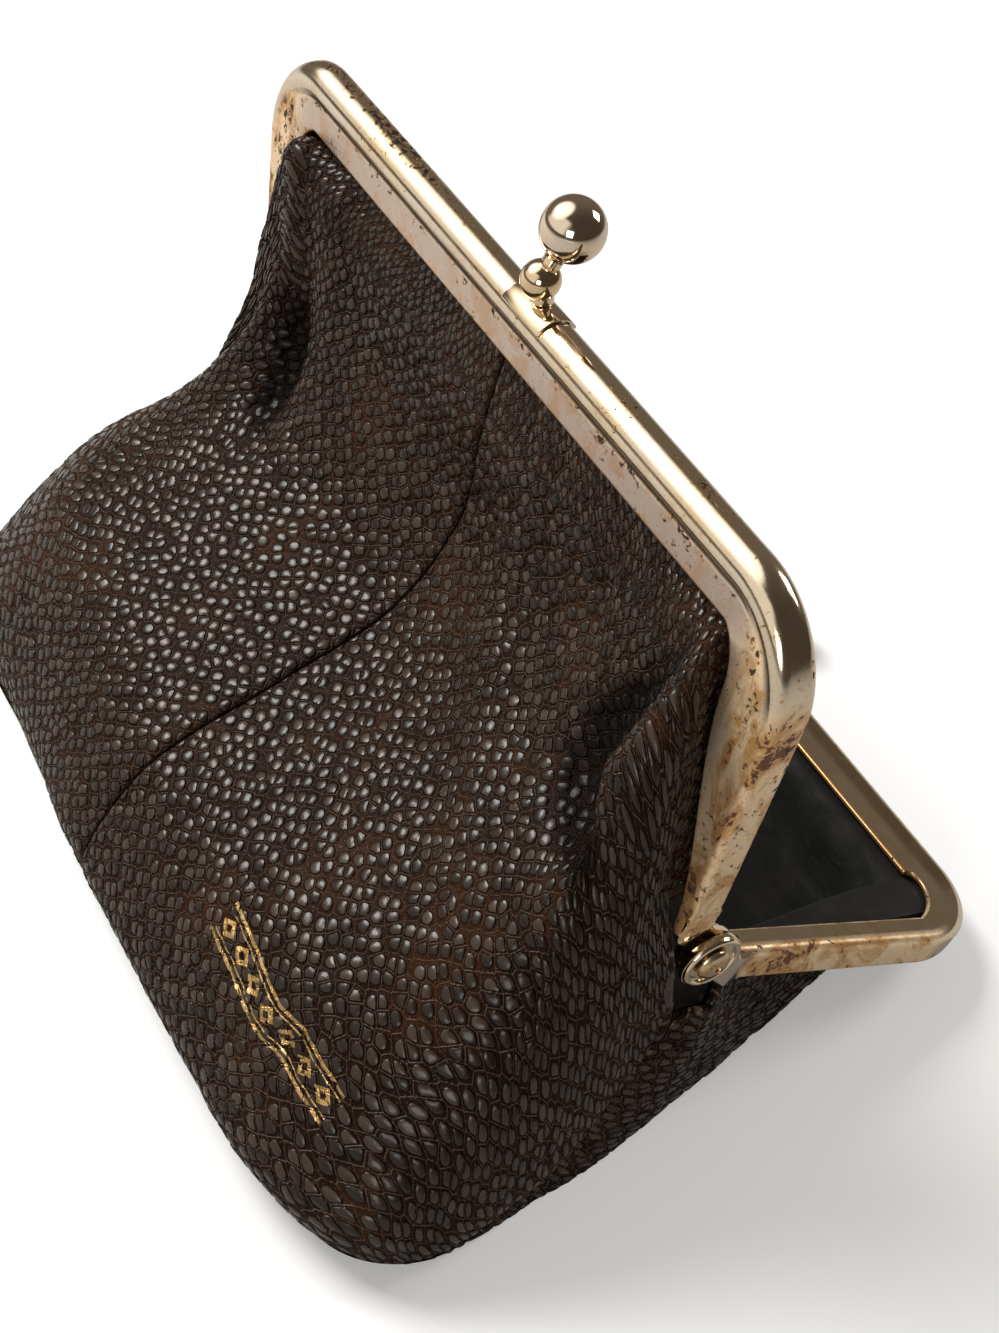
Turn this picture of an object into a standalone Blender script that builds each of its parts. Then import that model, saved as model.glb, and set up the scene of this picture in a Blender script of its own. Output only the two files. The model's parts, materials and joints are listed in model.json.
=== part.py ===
"""Kiss lock coin purse, standing open on its back.

A pressed metal frame in two U-shaped halves turns on a rivet at each end. The halves clip shut
with two balls that snap past each other. A soft leather bag, cut in four panels and lined, is
pinched into the channels of the frame with a filler cord behind it.

The model stands as the purse lies open: the rear half slopes down to the floor, the front half
stands upright and the bag lies in front of it. X runs along the hinge line, Y towards the rear
bar and Z up. Lengths are in metres.
"""

import math

import bmesh
import bpy
from mathutils import Matrix, Vector

# Driving dimensions of the frame
FRAME_WIDTH = 0.0900
FRAME_HEIGHT = 0.0440
LEG_DRAW_IN = 0.0020
CORNER_ACROSS = 0.0090
CORNER_ALONG = 0.0109
REAR_SLOPE = math.radians(21.1)

# Section of the pressed channel
CHANNEL_THICKNESS = 0.0041
SHEET = 0.00055
CLOSING_GAP = 0.0004
BAR_INNER_DEPTH = 0.0078
BAR_SKIRT_DEPTH = 0.0065
GROOVE_DEPTH = 0.0006
SKIRT_RECESS = 0.0004
BEAD_END_SHARE = 0.22
GROOVE_START_SHARE = 0.25
GROOVE_SHARE = 0.39
GROOVE_END_SHARE = 0.54
LEG_INNER_DEPTH = 0.0030
LEG_SKIRT_END = 0.0014
LEG_EDGE_RADIUS = 0.0009
LEG_START = 0.0048

# Hinge
EYE_RADIUS = 0.0032
FRONT_EYE_RADIUS = 0.0029
EYE_SHEET = 0.0006
EYE_RIM_HEIGHT = 0.00035
EYE_RIM_WIDTH = 0.0008
EYE_RIM_EDGE_SHARE = 0.25
EYE_RIM_CROWN_SHARES = (0.33, 0.75)
EYE_REACH = 0.0072
EYE_NECK_SHARE = 0.55
STRAP_STEP_SHARES = (0.25, 0.5, 0.75, 1.0)
STRAP_NARROW_SHARE = 0.5
STRAP_INSET_SHARE = 0.33
STRAP_SINK_SHARE = 0.25
RIVET_RADIUS = 0.0009
RIVET_CLEARANCE = 0.00025
RIVET_HEAD_RADIUS = 0.00175
RIVET_HEAD_HEIGHT = 0.0007
RIVET_DOME_SHARES = ((1.0, 0.0), (0.94, 0.35), (0.7, 0.75), (0.35, 0.96))
RIVET_TAIL_HEIGHT = 0.0003
RIVET_TAIL_SHARES = (0.5, 0.8)
RIVET_SLOT_WIDTH = 0.0004
RIVET_SLOT_DEPTH = 0.0003
RIVET_SLOT_LENGTH_SHARE = 1.3
RIVET_SLOT_TURN = math.radians(40.0)
WASHER_RADIUS = 0.0026
WASHER_THICKNESS = 0.0005
FIT_GAP = 0.00025
EYE_GAP = 0.0003

# Clasp
BALL_RADIUS = 0.0029
BALL_SPACING = 0.0061
BALL_RISE = 0.0070
BALL_OUT = 0.0004
COLLAR_RADIUS = 0.0018
COLLAR_RISE = 0.0025
COLLAR_LEAN = 0.00045
COLLAR_FOOT_SHARES = (0.62, 0.5)
NECK_RADIUS = 0.0009
NECK_SEAT_SHARE = 1.2
STEM_RADIUS = 0.00055
SPIGOT_RADIUS = 0.0006
SPIGOT_LENGTH = 0.0013
TAIL_RADIUS = 0.00095
TAIL_DEPTH = 0.00125
TAIL_THICKNESS = 0.0003
SADDLE_LENGTH = 0.0060
SADDLE_THICKNESS = 0.0004
SADDLE_WRAP = math.radians(62.0)

# Filler cord in the channel
CORD_RADIUS = 0.0007
CORD_DEPTH = 0.0025
CORD_END = 0.0300

# Bag
BAG_WIDTH = 0.1010
BAG_REACH = 0.0420
LEATHER = 0.0010
LINING = 0.0005
LINING_GAP = 0.00035
LEATHER_OFFSET = 0.00285
SEAM_GAP = 0.0003
MOUTH_CLEARANCE = 0.0008
SEAM_SPREAD = 0.00016

# Depth at which the leather edge ends inside the channel, as a share of the skirt
TUCK_SHARE = 0.56

# The bag's shape is a net of stations from the middle of the bar to the hinge. Each station
# names where its leather leaves the frame: a share along the bar, then the corner, then shares
# of the frame's height down the leg.
BAR_STATION_SHARES = (0.0, 0.48, 0.82)
CORNER_STATION_SHARE = 0.50
LEG_STATION_SHARES = (0.66, 0.455, 0.205)

# Rows of the panels follow the frame's width first and the bag's width lower down
ROW_FRAME_SHARES = (1.0, 0.5, 0.0, 0.0, 0.0, 0.0)

# Rows of the front panels below the frame, station by station. x is a share of half the width
# that the row follows, y a share of the bag's reach from the hinge, and z a share of the frame's
# height above the hinge line or of the hinge's height above the floor below it. The right panel
# stands off in a fold beside the leg, and the left one hangs close to it.
FRONT_RIGHT_NET_SHARES = (
    ((0.000, -0.093, 0.636), (0.000, -0.110, 0.398), (0.000, -0.255, 0.180),
     (0.000, -0.524, 0.052), (0.000, -0.833, -0.177), (0.000, -1.000, -0.651)),
    ((0.444, -0.100, 0.705), (0.429, -0.143, 0.500), (0.416, -0.298, 0.273),
     (0.426, -0.560, 0.114), (0.426, -0.845, -0.130), (0.426, -1.000, -0.625)),
    ((0.678, -0.119, 0.750), (0.681, -0.210, 0.591), (0.681, -0.333, 0.375),
     (0.713, -0.571, 0.148), (0.733, -0.810, -0.130), (0.743, -0.976, -0.625)),
    ((0.805, -0.155, 0.765), (0.786, -0.269, 0.627), (0.788, -0.367, 0.418),
     (0.861, -0.500, 0.148), (0.911, -0.702, -0.208), (0.950, -0.857, -0.651)),
    ((0.857, -0.138, 0.625), (0.859, -0.226, 0.505), (0.861, -0.288, 0.320),
     (0.921, -0.393, 0.080), (0.980, -0.536, -0.286), (1.000, -0.667, -0.651)),
    ((0.900, -0.133, 0.432), (0.884, -0.195, 0.330), (0.875, -0.233, 0.182),
     (0.923, -0.281, 0.011), (0.962, -0.352, -0.339), (0.982, -0.419, -0.651)),
    ((0.911, -0.150, 0.182), (0.886, -0.167, 0.136), (0.861, -0.169, 0.068),
     (0.885, -0.162, -0.040), (0.895, -0.150, -0.208), (0.892, -0.133, -0.339)),
)

FRONT_LEFT_NET_SHARES = (
    FRONT_RIGHT_NET_SHARES[0],
    ((0.444, -0.097, 0.700), (0.427, -0.125, 0.490), (0.413, -0.255, 0.240),
     (0.426, -0.510, 0.070), (0.434, -0.790, -0.165), (0.431, -0.940, -0.640)),
    ((0.673, -0.117, 0.734), (0.645, -0.138, 0.545), (0.635, -0.214, 0.307),
     (0.705, -0.452, 0.064), (0.748, -0.710, -0.190), (0.754, -0.890, -0.665)),
    ((0.800, -0.150, 0.757), (0.731, -0.162, 0.591), (0.713, -0.214, 0.364),
     (0.808, -0.357, 0.102), (0.915, -0.576, -0.248), (0.943, -0.786, -0.729)),
    ((0.851, -0.167, 0.625), (0.787, -0.181, 0.466), (0.764, -0.202, 0.284),
     (0.873, -0.274, 0.050), (0.974, -0.457, -0.271), (0.996, -0.631, -0.739)),
    ((0.893, -0.160, 0.432), (0.852, -0.188, 0.330), (0.842, -0.214, 0.189),
     (0.907, -0.240, 0.005), (0.966, -0.300, -0.337), (0.980, -0.381, -0.701)),
    ((0.918, -0.124, 0.205), (0.894, -0.148, 0.152), (0.870, -0.155, 0.073),
     (0.885, -0.150, -0.042), (0.891, -0.141, -0.210), (0.887, -0.129, -0.341)),
)

# Rows of the rear panels, in the same shares
REAR_NET_SHARES = (
    ((0.000, 0.667, -0.969), (0.000, 0.357, -1.000), (0.000, -0.048, -1.000),
     (0.000, -0.476, -1.000), (0.000, -0.786, -1.000)),
    ((0.444, 0.660, -0.966), (0.423, 0.350, -1.000), (0.406, -0.050, -1.000),
     (0.416, -0.476, -1.000), (0.421, -0.780, -1.000)),
    ((0.766, 0.643, -0.953), (0.733, 0.333, -1.000), (0.703, -0.071, -1.000),
     (0.713, -0.476, -1.000), (0.723, -0.738, -1.000)),
    ((0.855, 0.571, -0.896), (0.848, 0.262, -1.000), (0.842, -0.119, -1.000),
     (0.875, -0.429, -1.000), (0.901, -0.667, -1.000)),
    ((0.889, 0.536, -0.833), (0.899, 0.214, -0.960), (0.893, -0.119, -1.000),
     (0.927, -0.333, -1.000), (0.955, -0.524, -1.000)),
    ((0.922, 0.357, -0.714), (0.929, 0.143, -0.833), (0.913, -0.048, -0.917),
     (0.940, -0.190, -0.953), (0.955, -0.333, -0.958)),
    ((0.922, 0.171, -0.458), (0.904, 0.100, -0.530), (0.891, 0.024, -0.573),
     (0.891, -0.036, -0.573), (0.887, -0.071, -0.547)),
)

# Side and bottom seam, station by station, in the same shares
SEAM_SHARES = (
    (0.000, -0.976, -0.943), (0.426, -0.960, -0.943), (0.713, -0.948, -0.943),
    (0.921, -0.864, -0.943), (1.000, -0.690, -0.935), (0.960, -0.452, -0.860),
    (0.883, -0.107, -0.440),
)

# Mesh fineness
BAR_STEPS = 2
CORNER_STEPS = 8
LEG_STEPS = 6
ARC_STEPS = 3
ROUND_SIDES = 20
BALL_RINGS = 10
CORD_SIDES = 8
PANEL_ACROSS = 13
PANEL_DOWN = 14
LINING_SHORT_ROWS = 3
NORMAL_PASSES = 3

# Worked-out sizes
HALF_WIDTH = FRAME_WIDTH / 2
HALF_GAP = CLOSING_GAP / 2
TUBE_RADIUS = CHANNEL_THICKNESS / 2
BAR_CENTRE = HALF_GAP + TUBE_RADIUS
BAR_DROP = ((FRAME_HEIGHT - TUBE_RADIUS) * math.sin(REAR_SLOPE)
            + BAR_CENTRE * math.cos(REAR_SLOPE) + TUBE_RADIUS)
BALL_DROP = ((FRAME_HEIGHT + BALL_RISE) * math.sin(REAR_SLOPE)
             + BALL_OUT * math.cos(REAR_SLOPE) + BALL_RADIUS)
HINGE_HEIGHT = max(BAR_DROP, BALL_DROP)
LEG_TOP = FRAME_HEIGHT - CORNER_ALONG
HINGE_SIDE = HALF_WIDTH - LEG_DRAW_IN
FRONT_EYE_FACE = HINGE_SIDE
REAR_EYE_FACE = FRONT_EYE_FACE + EYE_GAP + EYE_SHEET
STRAP_SINK = SHEET * STRAP_SINK_SHARE
WASHER_FACE = FRONT_EYE_FACE - STRAP_SINK - EYE_SHEET - FIT_GAP - WASHER_THICKNESS
METAL_SMOOTH_ANGLE = math.radians(35.0)
SOFT_SMOOTH_ANGLE = math.radians(60.0)


def material(name, color, roughness, metallic):
    """Make a plain Principled material."""
    made = bpy.data.materials.new(name)
    made.use_nodes = True
    shader = made.node_tree.nodes["Principled BSDF"]
    shader.inputs["Base Color"].default_value = (*color, 1.0)
    shader.inputs["Roughness"].default_value = roughness
    shader.inputs["Metallic"].default_value = metallic
    return made


def half_point(slope, x, out, along):
    """A point of a half frame: across, outward from the closing face, and away from the hinge.

    slope is the angle below the horizontal for the rear half, and None for the front half,
    which stands upright.
    """
    if slope is None:
        return Vector((x, -out, along))
    y = along * math.cos(slope) - out * math.sin(slope)
    z = -along * math.sin(slope) - out * math.cos(slope)
    return Vector((x, y, z))


def make_object(name, mesh, finish, smooth_angle=METAL_SMOOTH_ANGLE):
    """Put a mesh into the scene under a name, with its material and smooth shading."""
    mesh.name = name
    mesh.materials.append(finish)
    mesh.shade_smooth()
    mesh.set_sharp_from_angle(angle=smooth_angle)
    made = bpy.data.objects.new(name, mesh)
    bpy.context.collection.objects.link(made)
    return made


def mesh_from_rings(rings, closed_rings=True, caps=True):
    """Loft a list of point rings into one mesh, with its faces pointing out."""
    shape = bmesh.new()
    rows = [[shape.verts.new(point) for point in ring] for ring in rings]
    count = len(rings[0])
    last = count if closed_rings else count - 1
    for low, high in zip(rows, rows[1:]):
        for i in range(last):
            j = (i + 1) % count
            shape.faces.new((low[i], low[j], high[j], high[i]))
    if caps:
        shape.faces.new(list(reversed(rows[0])))
        shape.faces.new(rows[-1])
    bmesh.ops.recalc_face_normals(shape, faces=shape.faces)
    bmesh.ops.triangulate(shape, faces=[f for f in shape.faces if len(f.verts) > 4])
    mesh = bpy.data.meshes.new("loft")
    shape.to_mesh(mesh)
    shape.free()
    return mesh


def turned(profile, sides=ROUND_SIDES):
    """Turn (radius, height) points about Z; a radius of zero closes the end."""
    shape = bmesh.new()
    rows = []
    for radius, height in profile:
        if radius == 0:
            rows.append([shape.verts.new((0, 0, height))])
            continue
        ring = []
        for i in range(sides):
            turn = math.tau * i / sides
            ring.append(shape.verts.new((radius * math.cos(turn), radius * math.sin(turn), height)))
        rows.append(ring)
    for low, high in zip(rows, rows[1:]):
        for i in range(sides):
            j = (i + 1) % sides
            if len(low) == 1:
                shape.faces.new((low[0], high[j], high[i]))
            elif len(high) == 1:
                shape.faces.new((low[i], low[j], high[0]))
            else:
                shape.faces.new((low[i], low[j], high[j], high[i]))
    bmesh.ops.recalc_face_normals(shape, faces=shape.faces)
    mesh = bpy.data.meshes.new("turned")
    shape.to_mesh(mesh)
    shape.free()
    return mesh


def turned_ring(outline, sides=ROUND_SIDES):
    """Turn a closed outline of (radius, height) points about Z into a ring."""
    shape = bmesh.new()
    rows = []
    for radius, height in outline:
        ring = []
        for i in range(sides):
            turn = math.tau * i / sides
            ring.append(shape.verts.new((radius * math.cos(turn), radius * math.sin(turn), height)))
        rows.append(ring)
    for low, high in zip(rows, rows[1:] + rows[:1]):
        for i in range(sides):
            j = (i + 1) % sides
            shape.faces.new((low[i], low[j], high[j], high[i]))
    bmesh.ops.recalc_face_normals(shape, faces=shape.faces)
    mesh = bpy.data.meshes.new("ring")
    shape.to_mesh(mesh)
    shape.free()
    return mesh


def sphere_profile(radius, centre, low_angle, high_angle, steps):
    """Points of a sphere's outline between two angles measured from its lowest point."""
    points = []
    for i in range(steps + 1):
        angle = low_angle + (high_angle - low_angle) * i / steps
        points.append((radius * math.sin(angle), centre - radius * math.cos(angle)))
    return points


def hide_tool(tool):
    """Keep a cutting or joining shape out of the model."""
    tool.hide_render = True
    tool.display_type = "WIRE"


def add_boolean(target, tool, operation):
    """Join or cut a shape with another, which then leaves the model."""
    step = target.modifiers.new(tool.name, "BOOLEAN")
    step.operation = operation
    step.object = tool
    step.solver = "EXACT"
    hide_tool(tool)


def smooth_step(value):
    """A ramp from 0 to 1 with soft ends."""
    value = min(max(value, 0.0), 1.0)
    return value * value * (3 - 2 * value)


def leg_half_width(along):
    """Half the frame's outer width at a distance from the hinge, on the leg."""
    return HINGE_SIDE + LEG_DRAW_IN * min(along / LEG_TOP, 1.0)


def frame_stations():
    """Stations of the right half of the frame's outer edge, from the hinge to the bar's middle.

    Each one is (x, along, normal x, normal along, leg share), where the leg share is 0 on the
    bar and 1 on the leg.
    """
    stations = []
    lean = LEG_DRAW_IN / LEG_TOP
    leg_normal = Vector((1.0, -lean)).normalized()
    for i in range(LEG_STEPS):
        along = LEG_START + (LEG_TOP - LEG_START) * i / LEG_STEPS
        stations.append((leg_half_width(along), along, leg_normal.x, leg_normal.y, 1.0))
    for i in range(CORNER_STEPS + 1):
        turn = math.pi / 2 * i / CORNER_STEPS
        x = HALF_WIDTH - CORNER_ACROSS + CORNER_ACROSS * math.cos(turn)
        along = LEG_TOP + CORNER_ALONG * math.sin(turn)
        normal = Vector((CORNER_ALONG * math.cos(turn), CORNER_ACROSS * math.sin(turn)))
        normal.normalize()
        stations.append((x, along, normal.x, normal.y, 1 - i / CORNER_STEPS))
    bar_end = HALF_WIDTH - CORNER_ACROSS
    for i in range(1, BAR_STEPS + 1):
        stations.append((bar_end * (1 - i / BAR_STEPS), FRAME_HEIGHT, 0.0, 1.0, 0.0))
    return stations


def skirt_depth(along):
    """How deep the outer wall hangs: full on the bar and corner, tapering down the leg."""
    share = (along - LEG_START) / (LEG_TOP - LEG_START)
    return LEG_SKIRT_END + (BAR_SKIRT_DEPTH - LEG_SKIRT_END) * smooth_step(share)


def inner_depth(leg_share):
    """How deep the closing wall hangs."""
    return BAR_INNER_DEPTH + (LEG_INNER_DEPTH - BAR_INNER_DEPTH) * leg_share


def channel_section(along, leg_share):
    """The channel's outline as (outward, depth) points, once round its wall."""
    bead = smooth_step(1 - leg_share)
    radius = LEG_EDGE_RADIUS + (TUBE_RADIUS - LEG_EDGE_RADIUS) * bead
    inside = radius - SHEET
    face = HALF_GAP
    back = HALF_GAP + CHANNEL_THICKNESS
    skirt = skirt_depth(along)
    wall = inner_depth(leg_share)
    recess = SKIRT_RECESS * bead
    groove = GROOVE_DEPTH * bead
    lip = max(skirt, radius + SHEET)
    bead_end, groove_place, groove_end = (radius + (lip - radius) * share for share in (
        BEAD_END_SHARE, GROOVE_SHARE, GROOVE_END_SHARE))
    points = [(face, wall)]
    for i in range(ARC_STEPS * 2 + 1):
        turn = math.pi * i / (ARC_STEPS * 2)
        centre = face + radius if i < ARC_STEPS else back - radius
        if i == ARC_STEPS:
            centre = (face + back) / 2
        points.append((centre - radius * math.cos(turn), radius * (1 - math.sin(turn))))
    points.append((back - groove * GROOVE_START_SHARE, bead_end))
    points.append((back - groove, groove_place))
    points.append((back - recess, groove_end))
    points.append((back - recess, lip))
    points.append((back - recess - SHEET, lip))
    points.append((back - recess - SHEET, groove_end))
    points.append((back - groove - SHEET, groove_place))
    for i in range(ARC_STEPS * 2, -1, -1):
        turn = math.pi * i / (ARC_STEPS * 2)
        centre = face + radius if i < ARC_STEPS else back - radius
        if i == ARC_STEPS:
            centre = (face + back) / 2
        points.append((centre - inside * math.cos(turn), SHEET + inside * (1 - math.sin(turn))))
    points.append((face + SHEET, wall))
    return points


def channel_mesh(slope):
    """The pressed channel of one half, swept from hinge to hinge round the U."""
    rings = []
    right = frame_stations()
    for side, stations in ((1, right), (-1, list(reversed(right))[1:])):
        for x, along, normal_x, normal_along, leg_share in stations:
            ring = []
            for out, depth in channel_section(along, leg_share):
                ring.append(half_point(slope, side * (x - normal_x * depth), out,
                                       along - normal_along * depth))
            rings.append(ring)
    return mesh_from_rings(rings)


def eye_strap(slope, side, radius, outer_face, name, finish):
    """The flat eye at the end of a leg, with the strap that joins it to the channel's side.

    The strap is cranked where the eye stands outside the leg.
    """
    rings = []
    steps = ROUND_SIDES // 2
    leg_face = leg_half_width(EYE_REACH) - STRAP_SINK
    inset = SHEET * STRAP_INSET_SHARE
    low = HALF_GAP + inset
    high = HALF_GAP + CHANNEL_THICKNESS - inset
    spans = []
    for i in range(1, steps):
        turn = math.pi * i / steps
        if -math.cos(turn) < EYE_NECK_SHARE:
            spans.append((-radius * math.cos(turn), -radius * math.sin(turn),
                          radius * math.sin(turn), 0.0))
    neck = spans[-1]
    for share in STRAP_STEP_SHARES:
        place = neck[0] + (EYE_REACH - neck[0]) * share
        ramp = smooth_step(share / STRAP_NARROW_SHARE)
        crank = smooth_step((share - STRAP_NARROW_SHARE) / (1 - STRAP_NARROW_SHARE))
        spans.append((place, neck[1] + (low - neck[1]) * ramp,
                      neck[2] + (high - neck[2]) * ramp, crank))
    for along, near, far, crank in spans:
        face = outer_face + (leg_face - outer_face) * crank
        inner = face - EYE_SHEET
        rings.append([half_point(slope, side * face, near, along),
                      half_point(slope, side * face, far, along),
                      half_point(slope, side * inner, far, along),
                      half_point(slope, side * inner, near, along)])
    return make_object(name, mesh_from_rings(rings), finish)


def along_hinge(mesh, side, start):
    """Lay a turned mesh along the hinge line, its foot at start and its head outwards."""
    turn = Matrix.Rotation(side * math.pi / 2, 4, "Y")
    mesh.transform(Matrix.Translation((side * start, 0, 0)) @ turn)
    return mesh


def eye_rim(side, name, finish):
    """The raised rim round the rear eye."""
    outer = EYE_RADIUS - EYE_RIM_HEIGHT * EYE_RIM_EDGE_SHARE
    inner = EYE_RADIUS - EYE_RIM_WIDTH
    low_crown, high_crown = (EYE_RADIUS - EYE_RIM_WIDTH * share for share in EYE_RIM_CROWN_SHARES)
    outline = [(inner, -EYE_SHEET / 2), (outer, -EYE_SHEET / 2), (outer, EYE_RIM_HEIGHT / 2),
               (low_crown, EYE_RIM_HEIGHT), (high_crown, EYE_RIM_HEIGHT),
               (inner, EYE_RIM_HEIGHT / 2)]
    return make_object(name, along_hinge(turned_ring(outline), side, REAR_EYE_FACE), finish)


def hinge_hole(name, finish):
    """A rod along the hinge line that cuts the rivet holes."""
    radius = RIVET_RADIUS + RIVET_CLEARANCE
    length = FRAME_WIDTH
    mesh = turned([(0, -length), (radius, -length), (radius, length), (0, length)])
    mesh.transform(Matrix.Rotation(math.pi / 2, 4, "Y"))
    return make_object(name, mesh, finish)


def stem_hole(name, slope, side, metal):
    """A rod through the bar that cuts the clasp's hole."""
    radius = STEM_RADIUS + FIT_GAP
    mesh = turned([(0, -TUBE_RADIUS), (radius, -TUBE_RADIUS), (radius, TUBE_RADIUS),
                   (0, TUBE_RADIUS)])
    place_clasp(mesh, slope, side, 0)
    return make_object(name, mesh, metal)


def build_frame(name, slope, clasp_side, metal):
    """One half of the frame: the channel, an eye at each end and the hole for its clasp."""
    frame = make_object(name, channel_mesh(slope), metal)
    rear = slope is not None
    face = REAR_EYE_FACE if rear else FRONT_EYE_FACE - STRAP_SINK
    radius = EYE_RADIUS if rear else FRONT_EYE_RADIUS
    for side, word in ((1, "right"), (-1, "left")):
        strap = eye_strap(slope, side, radius, face, f"{name}_{word}_eye", metal)
        add_boolean(frame, strap, "UNION")
        if rear:
            add_boolean(frame, eye_rim(side, f"{name}_{word}_rim", metal), "UNION")
    add_boolean(frame, hinge_hole(f"{name}_rivet_hole", metal), "DIFFERENCE")
    add_boolean(frame, stem_hole(f"{name}_clasp_hole", slope, clasp_side, metal), "DIFFERENCE")
    return frame


def rivet_mesh(side):
    """A hinge rivet: an upset tail inside, a plain shank and a slotted dome outside."""
    tail = WASHER_FACE - FIT_GAP
    shank_end = REAR_EYE_FACE + FIT_GAP - tail
    foot, shoulder = (RIVET_HEAD_RADIUS * share for share in RIVET_TAIL_SHARES)
    profile = [(0, -RIVET_TAIL_HEIGHT), (foot, -RIVET_TAIL_HEIGHT), (shoulder, 0),
               (RIVET_RADIUS, 0), (RIVET_RADIUS, shank_end)]
    for across, up in RIVET_DOME_SHARES:
        profile.append((RIVET_HEAD_RADIUS * across, shank_end + RIVET_HEAD_HEIGHT * up))
    profile.append((0, shank_end + RIVET_HEAD_HEIGHT))
    return along_hinge(turned(profile), side, tail), tail + shank_end + RIVET_HEAD_HEIGHT


def build_rivet(side, word, metal):
    """A rivet with the dent across its head."""
    mesh, top = rivet_mesh(side)
    rivet = make_object(f"{word}_hinge_rivet", mesh, metal)
    shape = bmesh.new()
    bmesh.ops.create_cube(shape, size=1.0)
    size = (RIVET_SLOT_DEPTH * 2, RIVET_HEAD_RADIUS * RIVET_SLOT_LENGTH_SHARE, RIVET_SLOT_WIDTH)
    bmesh.ops.scale(shape, vec=size, verts=shape.verts)
    turn = Matrix.Rotation(RIVET_SLOT_TURN, 4, "X")
    bmesh.ops.transform(shape, matrix=Matrix.Translation((side * top, 0, 0)) @ turn,
                        verts=shape.verts)
    slot = bpy.data.meshes.new(f"{word}_rivet_slot")
    shape.to_mesh(slot)
    shape.free()
    add_boolean(rivet, make_object(f"{word}_rivet_slot", slot, metal), "DIFFERENCE")
    return rivet


def build_washer(side, word, metal):
    """The plain washer between the rivet's tail and the front eye."""
    hole = RIVET_RADIUS + FIT_GAP
    ring = turned_ring([(hole, 0), (WASHER_RADIUS, 0), (WASHER_RADIUS, WASHER_THICKNESS),
                        (hole, WASHER_THICKNESS)])
    return make_object(f"{word}_hinge_washer", along_hinge(ring, side, WASHER_FACE), metal)


def place_clasp(mesh, slope, side, rise):
    """Move a mesh built on Z to the top of a bar, rise above it, on its side of the middle."""
    x = side * BALL_SPACING / 2
    foot = half_point(slope, x, BAR_CENTRE, FRAME_HEIGHT + rise)
    up = half_point(slope, 0, 0, 1.0)
    across = Vector((1, 0, 0))
    out = up.cross(across)
    frame = Matrix((across, out, up)).transposed().to_4x4()
    mesh.transform(Matrix.Translation(foot) @ frame)


def lean_matrix(slope, side, from_out, from_rise, to_out, to_rise):
    """A matrix that stands a Z-built mesh at one point of the clasp, aimed at another."""
    x = side * BALL_SPACING / 2
    foot = half_point(slope, x, from_out, FRAME_HEIGHT + from_rise)
    head = half_point(slope, x, to_out, FRAME_HEIGHT + to_rise)
    up = (head - foot).normalized()
    across = Vector((1, 0, 0))
    out = up.cross(across)
    turn = Matrix((across, out, up)).transposed().to_4x4()
    return Matrix.Translation(foot) @ turn, (head - foot).length


def build_post(name, slope, side, metal):
    """The clasp post: a tail upset in the channel, a stem, the collar ball and a spigot.

    The stem stands square on the bar, and the collar is turned towards the large ball.
    """
    low = -(TAIL_DEPTH + TAIL_THICKNESS)
    shoulder = SADDLE_THICKNESS + FIT_GAP * 2
    foot, waist = (COLLAR_RADIUS * share for share in COLLAR_FOOT_SHARES)
    stem = turned([(0, low), (TAIL_RADIUS, low), (TAIL_RADIUS, low + TAIL_THICKNESS),
                   (STEM_RADIUS, low + TAIL_THICKNESS), (STEM_RADIUS, shoulder),
                   (foot, shoulder), (waist, COLLAR_RISE), (0, COLLAR_RISE)])
    place_clasp(stem, slope, side, 0)
    post = make_object(name, stem, metal)
    collar_out = BAR_CENTRE + COLLAR_LEAN
    matrix, gap = lean_matrix(slope, side, collar_out, COLLAR_RISE, BALL_OUT, BALL_RISE)
    neck_angle = math.pi - math.asin(NECK_RADIUS / COLLAR_RADIUS)
    seat = gap - math.sqrt(BALL_RADIUS ** 2 - (NECK_RADIUS * NECK_SEAT_SHARE) ** 2) - FIT_GAP
    profile = sphere_profile(COLLAR_RADIUS, 0, 0, neck_angle, BALL_RINGS)
    profile[0] = (0, profile[0][1])
    neck_top = max(seat, profile[-1][1] + FIT_GAP / 2)
    profile += [(NECK_RADIUS, neck_top), (SPIGOT_RADIUS, neck_top),
                (SPIGOT_RADIUS, seat + SPIGOT_LENGTH), (0, seat + SPIGOT_LENGTH)]
    collar = turned(profile)
    collar.transform(matrix)
    add_boolean(post, make_object(f"{name}_collar", collar, metal), "UNION")
    return post


def build_ball(name, slope, side, metal):
    """The large clasp ball, bored for the post's spigot."""
    matrix, gap = lean_matrix(slope, side, BAR_CENTRE + COLLAR_LEAN, COLLAR_RISE, BALL_OUT,
                              BALL_RISE)
    bore = SPIGOT_RADIUS + FIT_GAP
    low = math.asin(bore / BALL_RADIUS)
    profile = sphere_profile(BALL_RADIUS, gap, low, math.pi, BALL_RINGS)
    profile[-1] = (0, profile[-1][1])
    bottom = profile[0][1] + SPIGOT_LENGTH + FIT_GAP
    mesh = turned([(0, bottom), (bore, bottom)] + profile)
    mesh.transform(matrix)
    return make_object(name, mesh, metal)


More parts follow.
